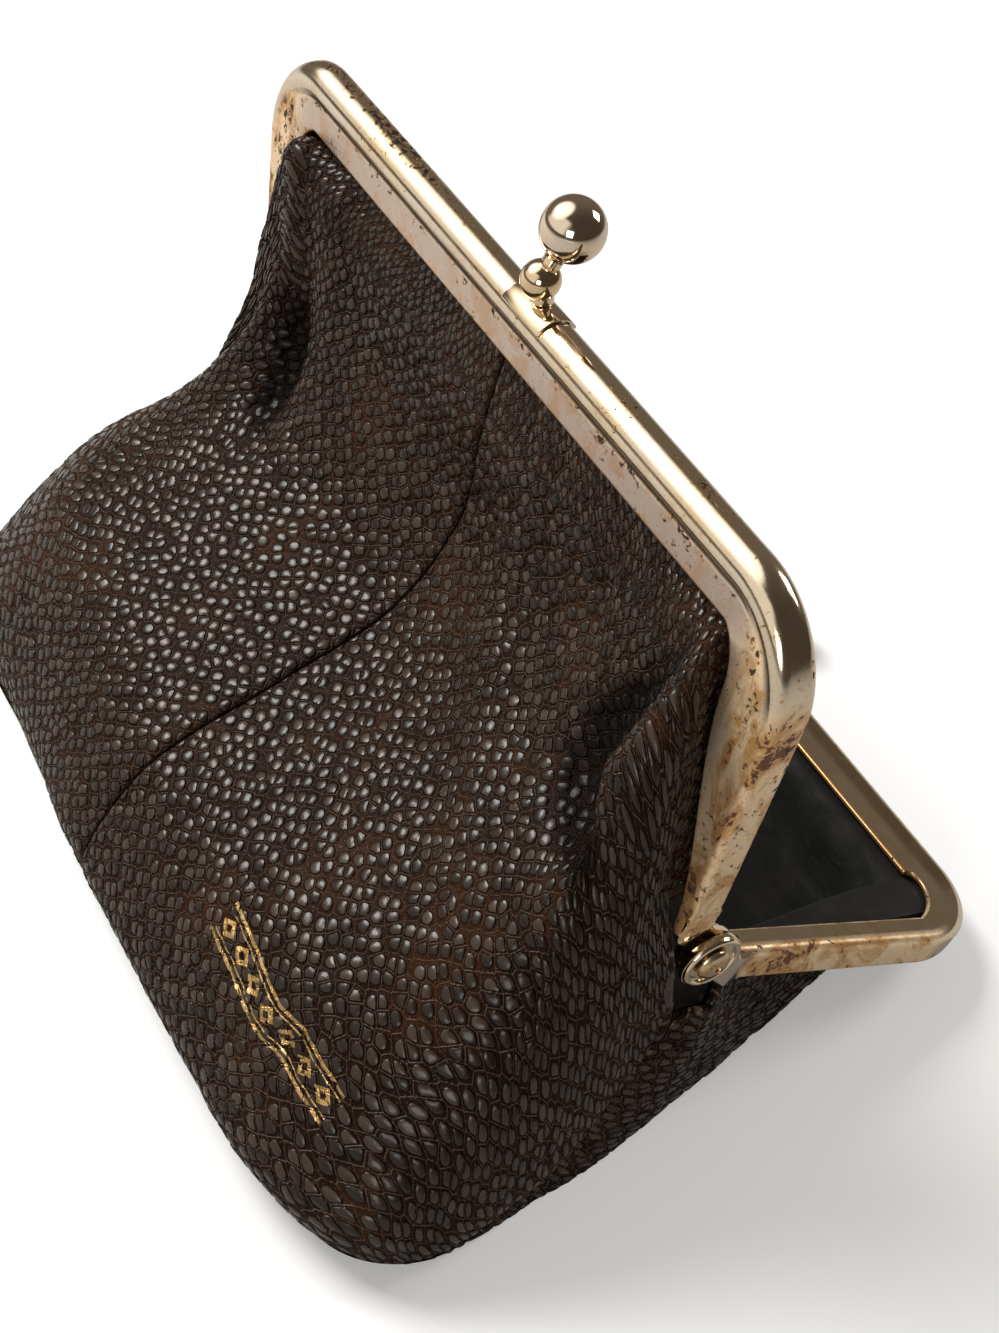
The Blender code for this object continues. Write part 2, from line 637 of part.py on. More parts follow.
def build_saddle(name, slope, side, metal):
    """The thin bed plate that wraps over the bar under the post."""
    inner = TUBE_RADIUS + FIT_GAP
    outer = inner + SADDLE_THICKNESS
    middle = side * BALL_SPACING / 2
    rings = []
    steps = ARC_STEPS * 2
    for i in range(steps + 1):
        turn = SADDLE_WRAP * (2 * i / steps - 1)
        ring = []
        for radius, end in ((inner, -1), (outer, -1), (outer, 1), (inner, 1)):
            ring.append(half_point(slope, middle + end * SADDLE_LENGTH / 2,
                                   BAR_CENTRE + radius * math.sin(turn),
                                   FRAME_HEIGHT - TUBE_RADIUS + radius * math.cos(turn)))
        rings.append(ring)
    saddle = make_object(name, mesh_from_rings(rings), metal)
    add_boolean(saddle, stem_hole(f"{name}_hole", slope, side, metal), "DIFFERENCE")
    return saddle


def build_cord(name, slope, paper):
    """The twisted paper cord that fills the channel behind the leather."""
    rings = []
    right = [s for s in frame_stations() if s[1] >= CORD_END]
    for side, stations in ((1, right), (-1, list(reversed(right))[1:])):
        for x, along, normal_x, normal_along, _ in stations:
            ring = []
            for i in range(CORD_SIDES):
                turn = math.tau * i / CORD_SIDES
                depth = CORD_DEPTH + CORD_RADIUS * math.cos(turn)
                ring.append(half_point(slope, side * (x - normal_x * depth),
                                       BAR_CENTRE + CORD_RADIUS * math.sin(turn),
                                       along - normal_along * depth))
            rings.append(ring)
    return make_object(name, mesh_from_rings(rings), paper)


def net_point(shares, frame_share=0.0):
    """A place on the bag from its shares; frame_share says how far it follows the frame's width."""
    x, y, z = shares
    width = BAG_WIDTH + (FRAME_WIDTH - BAG_WIDTH) * frame_share
    height = FRAME_HEIGHT if z > 0 else HINGE_HEIGHT
    return Vector((x * width / 2, y * BAG_REACH, z * height))


def frame_edge(place):
    """The outer edge and normal at a station: ("bar", share), ("corner", share) or ("leg", share)."""
    kind, share = place
    if kind == "bar":
        return (HALF_WIDTH - CORNER_ACROSS) * share, FRAME_HEIGHT, 0.0, 1.0
    if kind == "corner":
        turn = math.pi / 2 * (1 - share)
        normal = Vector((CORNER_ALONG * math.cos(turn), CORNER_ACROSS * math.sin(turn)))
        normal.normalize()
        return (HALF_WIDTH - CORNER_ACROSS + CORNER_ACROSS * math.cos(turn),
                LEG_TOP + CORNER_ALONG * math.sin(turn), normal.x, normal.y)
    along = FRAME_HEIGHT * share
    return leg_half_width(along), along, 1.0, 0.0


def bag_net(slope, table, spread):
    """The control net of a panel: its edge in the channel, its rows and its seam."""
    places = [("bar", share) for share in BAR_STATION_SHARES]
    places.append(("corner", CORNER_STATION_SHARE))
    places += [("leg", share) for share in LEG_STATION_SHARES]
    net = []
    for place, rows, seam in zip(places, table, SEAM_SHARES):
        x, along, normal_x, normal_along = frame_edge(place)
        skirt = skirt_depth(along)
        column = []
        for depth in (skirt * TUCK_SHARE, skirt + MOUTH_CLEARANCE):
            column.append(half_point(slope, x - normal_x * depth, LEATHER_OFFSET,
                                     along - normal_along * depth))
        column += [net_point(*row) for row in zip(rows, ROW_FRAME_SHARES)]
        column.append(net_point(seam) + Vector((0, 0, spread)))
        net.append(column)
    return net


def spline(before, start, end, after, share):
    """A Catmull-Rom point between start and end."""
    s2, s3 = share * share, share * share * share
    return 0.5 * ((2 * start) + (end - before) * share
                  + (2 * before - 5 * start + 4 * end - after) * s2
                  + (3 * start - before - 3 * end + after) * s3)


def sample_line(points, places, mirror=False):
    """Samples at places along a smooth line through points; mirror starts it square to X."""
    if mirror:
        first = Vector((-points[1].x, points[1].y, points[1].z))
    else:
        first = 2 * points[0] - points[1]
    line = [first] + list(points) + [2 * points[-1] - points[-2]]
    made = []
    for place in places:
        span = min(int(place), len(points) - 2)
        made.append(spline(line[span], line[span + 1], line[span + 2], line[span + 3],
                           place - span))
    return made


def even_places(start, end, count):
    """Even places from start to end, both included."""
    return [start + (end - start) * i / (count - 1) for i in range(count)]


def bag_surface(net):
    """Sample the net into a grid, station by station and row by row, never below the floor.

    The stretch inside the channel stays straight, and the rest is smooth.
    """
    down = [0] + even_places(1, len(net[0]) - 1, PANEL_DOWN - 1)
    across = even_places(0, len(net) - 1, PANEL_ACROSS)
    columns = [sample_line(column, down) for column in net]
    grid = []
    for row in range(PANEL_DOWN):
        line = sample_line([column[row] for column in columns], across, mirror=True)
        for point in line:
            point.z = max(point.z, -HINGE_HEIGHT)
        grid.append(line)
    return grid


def grid_normals(grid, outward):
    """Unit normals of a grid, pointing out of the bag and level along the seam."""
    rows, columns = len(grid), len(grid[0])
    normals = []
    for r in range(rows):
        line = []
        for c in range(columns):
            down = grid[min(r + 1, rows - 1)][c] - grid[max(r - 1, 0)][c]
            if c == 0:
                aside = grid[r][1] - Vector((-grid[r][1].x, grid[r][1].y, grid[r][1].z))
            else:
                aside = grid[r][min(c + 1, columns - 1)] - grid[r][c - 1]
            if r == rows - 1:
                line.append(Vector((aside.y, -aside.x, 0)).normalized())
            else:
                line.append(down.cross(aside).normalized() * outward)
        normals.append(line)
    for _ in range(NORMAL_PASSES):
        normals = smoothed(normals)
    return normals


def smoothed(normals):
    """Average each normal with its neighbours, but leave those of the first and last rows."""
    rows, columns = len(normals), len(normals[0])
    made = [normals[0]]
    for r in range(1, rows - 1):
        line = []
        for c in range(columns):
            near = [normals[r][c], normals[r][max(c - 1, 0)], normals[r - 1][c],
                    normals[r][min(c + 1, columns - 1)], normals[r + 1][c]]
            total = sum(near, Vector())
            if c == 0:
                total.x = 0
            line.append(total.normalized())
        made.append(line)
    return made + [normals[-1]]


def shell_mesh(outer, inner, middle=0):
    """Close two grids into one wall, its triangles mirrored about the middle column."""
    shape = bmesh.new()
    rows, columns = len(outer), len(outer[0])
    skins = [[[shape.verts.new(point) for point in line] for line in grid]
             for grid in (outer, inner)]
    for r in range(rows - 1):
        for c in range(columns - 1):
            near, far = (c, c + 1) if c >= middle else (c + 1, c)
            for skin in skins:
                shape.faces.new((skin[r][near], skin[r][far], skin[r + 1][far]))
                shape.faces.new((skin[r][near], skin[r + 1][far], skin[r + 1][near]))
    rim = [(r, 0) for r in range(rows)] + [(rows - 1, c) for c in range(1, columns)]
    rim += [(r, columns - 1) for r in range(rows - 2, -1, -1)]
    rim += [(0, c) for c in range(columns - 2, 0, -1)]
    for (r, c), (nr, nc) in zip(rim, rim[1:] + rim[:1]):
        shape.faces.new((skins[0][r][c], skins[0][nr][nc], skins[1][nr][nc], skins[1][r][c]))
    bmesh.ops.recalc_face_normals(shape, faces=shape.faces)
    mesh = bpy.data.meshes.new("shell")
    shape.to_mesh(mesh)
    shape.free()
    return mesh


def offset_grid(grid, normals, distance):
    """Move a grid inwards, and keep it at least as far above the floor."""
    moved = []
    for line, row in zip(grid, normals):
        points = [point - normal * distance for point, normal in zip(line, row)]
        for point in points:
            point.z = max(point.z, distance - HINGE_HEIGHT)
        moved.append(points)
    return moved


def build_panels(name, nets, outward, leather):
    """The left and right leather panels of one side of the bag."""
    for side, word, net in ((1, "right", nets[0]), (-1, "left", nets[1])):
        grid = bag_surface(net)
        normals = grid_normals(grid, outward)
        inner = offset_grid(grid, normals, LEATHER)
        skins = []
        for skin in (grid, inner):
            skins.append([[Vector((side * max(point.x, SEAM_GAP / 2), point.y, point.z))
                           for point in line] for line in skin])
        make_object(f"{name}_{word}", shell_mesh(*skins), leather, SOFT_SMOOTH_ANGLE)


def build_lining(name, nets, outward, cloth):
    """One side of the lining, inside the leather and stopping short of the seam."""
    skins = []
    for distance in (LEATHER + LINING_GAP, LEATHER + LINING_GAP + LINING):
        halves = []
        for net in nets:
            grid = bag_surface(net)
            normals = grid_normals(grid, outward)
            halves.append(offset_grid(grid, normals, distance)[:-LINING_SHORT_ROWS])
        whole = []
        for right, left in zip(*halves):
            mirrored = [Vector((-point.x, point.y, point.z)) for point in reversed(left[1:])]
            whole.append(mirrored + [Vector((0, right[0].y, right[0].z))] + right[1:])
        skins.append(whole)
    middle = len(skins[0][0]) // 2
    return make_object(name, shell_mesh(*skins, middle), cloth, SOFT_SMOOTH_ANGLE)


def stand_on_origin():
    """Move everything so that the model's box stands centred on the origin."""
    bpy.context.view_layer.update()
    corners = []
    for piece in bpy.context.scene.objects:
        if not piece.hide_render:
            corners += [piece.matrix_world @ Vector(corner) for corner in piece.bound_box]
    middle_y = (min(c.y for c in corners) + max(c.y for c in corners)) / 2
    for piece in bpy.context.scene.objects:
        piece.location.y -= middle_y
        piece.location.z += HINGE_HEIGHT
    print("hinge line at", 0.0, -middle_y, HINGE_HEIGHT)


def main():
    """Build the purse."""
    for old in list(bpy.data.objects):
        bpy.data.objects.remove(old, do_unlink=True)
    metal = material("pale_gold", (0.72, 0.60, 0.42), 0.22, 1.0)
    bright = material("bright_gold", (0.78, 0.62, 0.36), 0.12, 1.0)
    leather = material("brown_leather", (0.075, 0.038, 0.024), 0.38, 0.0)
    cloth = material("black_lining", (0.016, 0.015, 0.014), 0.6, 0.0)
    paper = material("paper_cord", (0.50, 0.40, 0.27), 0.85, 0.0)
    for word, slope, side, spread, tables, outward in (
            ("front", None, 1, SEAM_SPREAD, (FRONT_RIGHT_NET_SHARES, FRONT_LEFT_NET_SHARES), 1),
            ("rear", REAR_SLOPE, -1, -SEAM_SPREAD, (REAR_NET_SHARES, REAR_NET_SHARES), -1)):
        build_frame(f"{word}_frame", slope, side, metal)
        build_saddle(f"{word}_clasp_saddle", slope, side, bright)
        build_post(f"{word}_clasp_post", slope, side, bright)
        build_ball(f"{word}_clasp_ball", slope, side, bright)
        build_cord(f"{word}_filler_cord", slope, paper)
        nets = [bag_net(slope, table, spread) for table in tables]
        build_panels(f"{word}_panel", nets, outward, leather)
        build_lining(f"{word}_lining", nets, outward, cloth)
    for side, word in ((1, "right"), (-1, "left")):
        build_rivet(side, word, metal)
        build_washer(side, word, metal)
    stand_on_origin()


main()
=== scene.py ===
"""Looks of the kiss lock coin purse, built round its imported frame.

The pressed frame is lofted with a fine section, the bag is lofted from the same net as its solids
and gets its folds and raised scales, and the clasp, the hinge and the paper cords are turned and
wound. Lengths are in metres, in the frame's own axes.
"""

import json
import logging
import math
from dataclasses import dataclass, field
from enum import Enum

import bpy
import numpy as np
from mathutils import Matrix, Vector

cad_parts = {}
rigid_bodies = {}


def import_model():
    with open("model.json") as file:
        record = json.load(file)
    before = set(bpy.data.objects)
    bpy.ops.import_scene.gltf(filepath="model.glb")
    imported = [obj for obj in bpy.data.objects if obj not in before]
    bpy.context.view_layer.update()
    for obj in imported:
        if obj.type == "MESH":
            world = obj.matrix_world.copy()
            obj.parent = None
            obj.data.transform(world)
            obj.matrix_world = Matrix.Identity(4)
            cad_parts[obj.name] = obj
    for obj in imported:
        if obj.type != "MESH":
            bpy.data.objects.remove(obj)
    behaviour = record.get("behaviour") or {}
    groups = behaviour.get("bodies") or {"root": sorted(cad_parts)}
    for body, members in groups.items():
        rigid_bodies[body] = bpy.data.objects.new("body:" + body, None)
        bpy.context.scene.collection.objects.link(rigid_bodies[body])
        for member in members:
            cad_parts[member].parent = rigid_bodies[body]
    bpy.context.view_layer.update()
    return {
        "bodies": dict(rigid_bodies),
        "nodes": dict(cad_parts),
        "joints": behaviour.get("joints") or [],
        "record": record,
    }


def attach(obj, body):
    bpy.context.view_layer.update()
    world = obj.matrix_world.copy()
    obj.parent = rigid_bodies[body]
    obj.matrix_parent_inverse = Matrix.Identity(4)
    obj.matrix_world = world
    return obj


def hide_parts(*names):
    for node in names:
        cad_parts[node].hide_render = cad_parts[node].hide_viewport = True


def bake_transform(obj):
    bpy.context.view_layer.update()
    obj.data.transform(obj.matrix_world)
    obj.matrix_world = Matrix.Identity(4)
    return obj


LOG = logging.getLogger("coin_purse")
MERGE = 1e-6
Color = tuple[float, float, float]
Outline = list[tuple[float, float]]
Shares = tuple[float, float, float]
Net = tuple[tuple[Shares, ...], ...]
Maps = dict[str, tuple[np.ndarray, np.ndarray]]

# Rows of the panels below the frame, station by station from the middle of the bar to the hinge:
# x by half the width, y by the bag's reach and z by the height above or below the hinge line
FRONT_RIGHT_ROWS: Net = (
    ((0.000, -0.093, 0.636), (0.000, -0.110, 0.398), (0.000, -0.255, 0.180),
     (0.000, -0.524, 0.052), (0.000, -0.833, -0.177), (0.000, -1.000, -0.651)),
    ((0.444, -0.100, 0.705), (0.429, -0.143, 0.500), (0.416, -0.298, 0.273),
     (0.426, -0.560, 0.114), (0.426, -0.845, -0.130), (0.426, -1.000, -0.625)),
    ((0.682, -0.116, 0.766), (0.681, -0.210, 0.591), (0.681, -0.333, 0.375),
     (0.713, -0.571, 0.148), (0.733, -0.810, -0.130), (0.743, -0.976, -0.625)),
    ((0.818, -0.146, 0.792), (0.792, -0.265, 0.627), (0.788, -0.367, 0.418),
     (0.861, -0.500, 0.148), (0.911, -0.702, -0.208), (0.950, -0.857, -0.651)),
    ((0.868, -0.134, 0.632), (0.866, -0.222, 0.505), (0.861, -0.288, 0.320),
     (0.921, -0.393, 0.080), (0.980, -0.536, -0.286), (1.000, -0.667, -0.651)),
    ((0.906, -0.128, 0.432), (0.891, -0.182, 0.330), (0.882, -0.215, 0.182),
     (0.925, -0.266, 0.011), (0.962, -0.343, -0.339), (0.982, -0.414, -0.651)),
    ((0.911, -0.133, 0.192), (0.887, -0.132, 0.152), (0.862, -0.124, 0.085),
     (0.882, -0.116, -0.020), (0.893, -0.110, -0.196), (0.892, -0.108, -0.334)),
)
FRONT_LEFT_ROWS: Net = (
    FRONT_RIGHT_ROWS[0],
    ((0.444, -0.097, 0.700), (0.427, -0.125, 0.490), (0.413, -0.255, 0.240),
     (0.426, -0.510, 0.070), (0.434, -0.790, -0.165), (0.431, -0.940, -0.640)),
    ((0.682, -0.110, 0.762), (0.645, -0.136, 0.555), (0.635, -0.214, 0.307),
     (0.705, -0.452, 0.064), (0.748, -0.710, -0.190), (0.754, -0.890, -0.665)),
    ((0.820, -0.136, 0.802), (0.742, -0.158, 0.605), (0.713, -0.214, 0.364),
     (0.808, -0.357, 0.102), (0.915, -0.576, -0.248), (0.943, -0.786, -0.729)),
    ((0.866, -0.150, 0.640), (0.796, -0.176, 0.474), (0.764, -0.202, 0.284),
     (0.873, -0.274, 0.050), (0.974, -0.457, -0.271), (0.996, -0.631, -0.739)),
    ((0.899, -0.150, 0.436), (0.856, -0.184, 0.330), (0.842, -0.214, 0.189),
     (0.907, -0.240, 0.005), (0.966, -0.300, -0.337), (0.980, -0.381, -0.701)),
    ((0.918, -0.124, 0.205), (0.894, -0.148, 0.152), (0.870, -0.155, 0.073),
     (0.885, -0.150, -0.042), (0.891, -0.141, -0.210), (0.887, -0.129, -0.341)),
)
REAR_ROWS: Net = (
    ((0.000, 0.667, -0.969), (0.000, 0.357, -1.000), (0.000, -0.048, -1.000),
     (0.000, -0.476, -1.000), (0.000, -0.786, -1.000)),
    ((0.444, 0.660, -0.966), (0.423, 0.350, -1.000), (0.406, -0.050, -1.000),
     (0.416, -0.476, -1.000), (0.421, -0.780, -1.000)),
    ((0.766, 0.643, -0.953), (0.733, 0.333, -1.000), (0.703, -0.071, -1.000),
     (0.713, -0.476, -1.000), (0.723, -0.738, -1.000)),
    ((0.855, 0.571, -0.896), (0.848, 0.262, -1.000), (0.842, -0.119, -1.000),
     (0.875, -0.429, -1.000), (0.901, -0.667, -1.000)),
    ((0.889, 0.536, -0.833), (0.899, 0.214, -0.960), (0.893, -0.119, -1.000),
     (0.927, -0.333, -1.000), (0.955, -0.524, -1.000)),
    ((0.922, 0.357, -0.714), (0.929, 0.143, -0.833), (0.913, -0.048, -0.917),
     (0.940, -0.190, -0.953), (0.955, -0.333, -0.958)),
    ((0.930, 0.130, -0.280), (0.920, 0.065, -0.255), (0.908, 0.005, -0.245),
     (0.899, -0.045, -0.255), (0.890, -0.080, -0.285)),
)
SEAM_ROW: tuple[Shares, ...] = (
    (0.000, -0.976, -0.943), (0.426, -0.960, -0.943), (0.713, -0.948, -0.943),
    (0.921, -0.864, -0.943), (1.000, -0.690, -0.935), (0.960, -0.452, -0.860),
    (0.884, -0.098, -0.345),
)
# Where the stations lie, as shares of half the straight bar, of the corner's turn and of the height
BAR_STATIONS = (0.0, 0.48, 0.82)
CORNER_STATION = 0.50
LEG_STATIONS = (0.66, 0.455, 0.205)
# How far each row's width follows the frame's and not the bag's
ROW_FRAME_SHARES = (1.0, 0.5, 0.0, 0.0, 0.0, 0.0)
# Where each stretch of the channel's outline lies on the ring map
RING = {
    "wall": (0.0, 0.19), "edge": (0.2, 0.3), "shoulder": (0.3, 0.4),
    "skirt": (0.4 + 0.4 / 33, 0.8), "lip": (0.81, 0.86), "skirt_back": (0.88, 0.92),
    "shoulder_back": (0.93, 0.95), "edge_back": (0.95, 0.97), "wall_back": (0.975, 0.985),
    "hem": (0.99, 1.0),
}


class Half(Enum):
    """The two halves of the purse."""

    FRONT = "front"
    REAR = "rear"

    @property
    def body(self) -> str:
        """The frame body that this half rides on."""
        return f"{self.value}_half"

    @property
    def clasp_side(self) -> int:
        """The side of the middle on which this half's ball stands."""
        return 1 if self is Half.FRONT else -1


class Side(Enum):
    """Right and left, by the sign of X."""

    RIGHT = 1
    LEFT = -1

    @property
    def word(self) -> str:
        """The side's name in lower case."""
        return self.name.lower()


def smooth_step(value: np.ndarray | float) -> np.ndarray | float:
    """A ramp from 0 to 1 with soft ends."""
    value = np.clip(value, 0.0, 1.0)
    return value * value * (3 - 2 * value)


def smooth_line(points: np.ndarray, places: np.ndarray, first: np.ndarray) -> np.ndarray:
    """Samples along a smooth line through points.

    Args:
        points: the points, or whole rows of them, stacked on the first axis.
        places: where to sample, in steps of one point.
        first: what stands before the first point.
    Returns:
        The samples, stacked on the first axis.
    """
    line = np.concatenate([first[None], points, (2 * points[-1] - points[-2])[None]])
    span = np.minimum(places.astype(int), len(points) - 2)
    share = (places - span).reshape(-1, *([1] * (points.ndim - 1)))
    before, start, end, after = (line[span + k] for k in range(4))
    bend = 2 * before - 5 * start + 4 * end - after
    swing = 3 * start - before - 3 * end + after
    return 0.5 * (2 * start + (end - before) * share + bend * share**2 + swing * share**3)


def unit(vectors: np.ndarray) -> np.ndarray:
    """Vectors of length one."""
    return vectors / np.maximum(np.linalg.norm(vectors, axis=-1, keepdims=True), 1e-12)


def softened(values: np.ndarray, passes: int) -> np.ndarray:
    """A grid of values averaged with its neighbours, its border kept in line."""
    for _ in range(passes):
        for axis in (0, 1):
            ahead = np.roll(values, -1, axis)
            behind = np.roll(values, 1, axis)
            if axis == 0:
                ahead[-1], behind[0] = values[-1], values[0]
            else:
                ahead[:, -1], behind[:, 0] = values[:, -1], values[:, 0]
            values = values * 0.5 + (ahead + behind) * 0.25
    return values


@dataclass(frozen=True)
class PurseSizes:
    """Sizes of the frame, the hinge and the bag, as the solids have them."""

    frame_width: float = 0.0900
    frame_height: float = 0.0440
    leg_draw_in: float = 0.0020
    corner_across: float = 0.0090
    corner_along: float = 0.0109
    rear_slope: float = math.radians(21.1)
    channel: float = 0.0041
    sheet: float = 0.00055
    closing_gap: float = 0.0004
    bar_inner_depth: float = 0.0078
    bar_skirt_depth: float = 0.0065
    leg_inner_depth: float = 0.0030
    leg_skirt_end: float = 0.0014
    leg_edge_radius: float = 0.0009
    leg_start: float = 0.0048
    eye_sheet: float = 0.0006
    eye_gap: float = 0.0003
    fit_gap: float = 0.00025
    bag_width: float = 0.1010
    bag_reach: float = 0.0420
    leather: float = 0.0010
    lining: float = 0.0005
    lining_gap: float = 0.00035
    leather_offset: float = 0.00285
    mouth_clearance: float = 0.0008
    tuck_share: float = 0.56

    @property
    def half_gap(self) -> float:
        """Half the gap between the closed halves."""
        return self.closing_gap / 2

    @property
    def tube_radius(self) -> float:
        """The radius of the rolled edge."""
        return self.channel / 2

    @property
    def bar_centre(self) -> float:
        """How far the rolled edge's centre lies outward of the closing face."""
        return self.half_gap + self.tube_radius

    @property
    def leg_top(self) -> float:
        """How far from the hinge the corner begins."""
        return self.frame_height - self.corner_along

    @property
    def hinge_side(self) -> float:
        """Half the frame's width at the hinge."""
        return self.frame_width / 2 - self.leg_draw_in

    @property
    def strap_sink(self) -> float:
        """How far an eye's strap is let into the leg's side."""
        return self.sheet * 0.25

    @property
    def rear_eye_face(self) -> float:
        """How far from the middle the rear eyes' outer faces lie."""
        return self.hinge_side + self.eye_gap + self.eye_sheet

    def leg_half_width(self, along: float) -> float:
        """Half the frame's outer width at a distance from the hinge."""
        return self.hinge_side + self.leg_draw_in * min(along / self.leg_top, 1.0)

    def skirt_depth(self, along: float) -> float:
        """How deep the outer wall hangs: full on the bar, tapering down the leg."""
        share = smooth_step((along - self.leg_start) / (self.leg_top - self.leg_start))
        return self.leg_skirt_end + (self.bar_skirt_depth - self.leg_skirt_end) * share

    def corner(self, turn: float) -> tuple[float, float, float, float]:
        """The outer edge at an angle round the corner: x, along and its normal."""
        normal = Vector((self.corner_along * math.cos(turn), self.corner_across * math.sin(turn)))
        normal.normalize()
        return (self.frame_width / 2 - self.corner_across * (1 - math.cos(turn)),
                self.leg_top + self.corner_along * math.sin(turn), normal.x, normal.y)


@dataclass(frozen=True)
class Layout:
    """Where the two halves of the purse stand."""

    sizes: PurseSizes
    hinge: Vector

    def points(self, half: Half, across: np.ndarray | float, out: np.ndarray | float,
               along: np.ndarray | float) -> np.ndarray:
        """Points of one half: across, outward from the closing face and away from the hinge."""
        across, out, along = np.broadcast_arrays(across, out, along)
        if half is Half.FRONT:
            placed = np.stack([across, -out, along], axis=-1)
        else:
            cosine, sine = math.cos(self.sizes.rear_slope), math.sin(self.sizes.rear_slope)
            placed = np.stack([across, along * cosine - out * sine, -along * sine - out * cosine],
                              axis=-1)
        return placed.astype(float) + np.array(self.hinge)

    def stand(self, half: Half, foot: Shares, head: Shares) -> tuple[Matrix, float]:
        """Stand a piece built on Z at one place of a half, aimed at another.

        Args:
            half: the half that carries the piece.
            foot: where it stands: across, outward and along.
            head: what it is aimed at.
        Returns:
            The matrix, and the distance between the two places.
        """
        low, high = Vector(self.points(half, *foot)), Vector(self.points(half, *head))
        up = (high - low).normalized()
        level = Vector((1.0, 0.0, 0.0))
        turn = Matrix((level, up.cross(level), up)).transposed().to_4x4()
        return Matrix.Translation(low) @ turn, (high - low).length

    def on_hinge(self, side: Side, start: float) -> Matrix:
        """Lay a piece built on Z along the hinge line, its foot at start and its head outwards."""
        turn = Matrix.Rotation(side.value * math.pi / 2, 4, "Y")
        return Matrix.Translation(self.hinge + Vector((side.value * start, 0, 0))) @ turn


class Bench:
    """Modelling steps that the pieces share."""

    @staticmethod
    def clear() -> None:
        """Leave edit mode and deselect everything."""
        if bpy.context.mode != "OBJECT":
            bpy.ops.object.mode_set(mode="OBJECT")
        bpy.ops.object.select_all(action="DESELECT")

    @staticmethod
    def pick(piece: bpy.types.Object) -> None:
        """Select one piece alone."""
        Bench.clear()
        piece.select_set(True)
        bpy.context.view_layer.objects.active = piece

    @staticmethod
    def edit(piece: bpy.types.Object) -> None:
        """Open a piece in edit mode with all of it selected."""
        Bench.pick(piece)
        bpy.ops.object.mode_set(mode="EDIT")
        bpy.ops.mesh.select_all(action="SELECT")

    @staticmethod
    def named(name: str) -> bpy.types.Object:
        """Name the piece that an operator has just added."""
        piece = bpy.context.object
        piece.name = name
        piece.data.name = name
        return piece

    @staticmethod
    def lay(piece: bpy.types.Object, points: np.ndarray) -> None:
        """Put a piece's vertices in their places."""
        piece.data.vertices.foreach_set("co", np.asarray(points, np.float32).ravel())
        piece.data.update()

    @staticmethod
    def grid(name: str, points: np.ndarray, maps: Maps | None = None) -> bpy.types.Object:
        """Add a grid, lay it over points given row by row and write its UV maps.

        Args:
            name: the piece's name.
            points: rows of points.
            maps: by the map's name, its u and v at every point, or at every column and row.
        Returns:
            The grid.
        """
        rows, columns = points.shape[:2]
        Bench.clear()
        bpy.ops.mesh.primitive_grid_add(x_subdivisions=columns - 1, y_subdivisions=rows - 1)
        piece = Bench.named(name)
        Bench.lay(piece, points)
        corners = np.zeros(len(piece.data.loops), np.int32)
        piece.data.loops.foreach_get("vertex_index", corners)
        for layer, (across, along) in (maps or {}).items():
            if across.ndim == 1:
                across, along = np.meshgrid(across, along)
            spots = np.stack([across, along], axis=-1).reshape(-1, 2)[corners]
            target = piece.data.uv_layers.get(layer) or piece.data.uv_layers.new(name=layer)
            target.data.foreach_set("uv", spots.astype(np.float32).ravel())
        return piece

    @staticmethod
    def seal(piece: bpy.types.Object) -> None:
        """Merge doubles, close open ends and turn the faces out."""
        Bench.edit(piece)
        bpy.ops.mesh.remove_doubles(threshold=MERGE)
        bpy.ops.mesh.dissolve_degenerate(threshold=MERGE)
        bpy.ops.mesh.delete_loose(use_verts=True, use_edges=True, use_faces=False)
        bpy.ops.mesh.select_all(action="SELECT")
        bpy.ops.mesh.fill_holes(sides=0)
        bpy.ops.mesh.select_all(action="SELECT")
        bpy.ops.mesh.normals_make_consistent(inside=False)
        Bench.clear()

    @staticmethod
    def loft(name: str, rings: np.ndarray, maps: Maps | None = None) -> bpy.types.Object:
        """Wrap a grid round closed rings and close its ends."""
        piece = Bench.grid(name, np.concatenate([rings, rings[:, :1]], axis=1), maps)
        Bench.seal(piece)
        return piece

    @staticmethod
    def turned(name: str, outline: Outline, steps: int = 64) -> bpy.types.Object:
        """Spin a closed outline of (radius, height) points about Z."""
        Bench.clear()
        bpy.ops.mesh.primitive_circle_add(vertices=len(outline), fill_type="NOTHING")
        piece = Bench.named(name)
        Bench.lay(piece, np.array([(radius, 0.0, height) for radius, height in outline]))
        Bench.edit(piece)
        bpy.ops.mesh.spin(steps=steps, angle=math.tau, center=(0, 0, 0), axis=(0, 0, 1))
        Bench.seal(piece)
        return piece

    @staticmethod
    def move(piece: bpy.types.Object, matrix: Matrix) -> None:
        """Put a piece in its place, with the place kept in its mesh."""
        piece.matrix_world = matrix
        Bench.pick(piece)
        bpy.ops.object.transform_apply(location=True, rotation=True, scale=True)

    @staticmethod
    def modify(piece: bpy.types.Object, kind: str, **settings: object) -> None:
        """Add a modifier and apply it."""
        Bench.pick(piece)
        bpy.ops.object.modifier_add(type=kind)
        step = piece.modifiers[-1]
        for key, value in settings.items():
            setattr(step, key, value)
        bpy.ops.object.modifier_apply(modifier=step.name)

    @staticmethod
    def combine(piece: bpy.types.Object, tool: bpy.types.Object, operation: str) -> None:
        """Join or cut a piece with a tool, which then goes."""
        Bench.modify(piece, "BOOLEAN", operation=operation, object=tool, solver="EXACT")
        bpy.data.objects.remove(tool, do_unlink=True)

    @staticmethod
    def bevel(piece: bpy.types.Object, width: float, segments: int = 2) -> None:
        """Round a piece's sharp edges."""
        Bench.modify(piece, "BEVEL", width=width, segments=segments, limit_method="ANGLE",
                     angle_limit=math.radians(40.0))

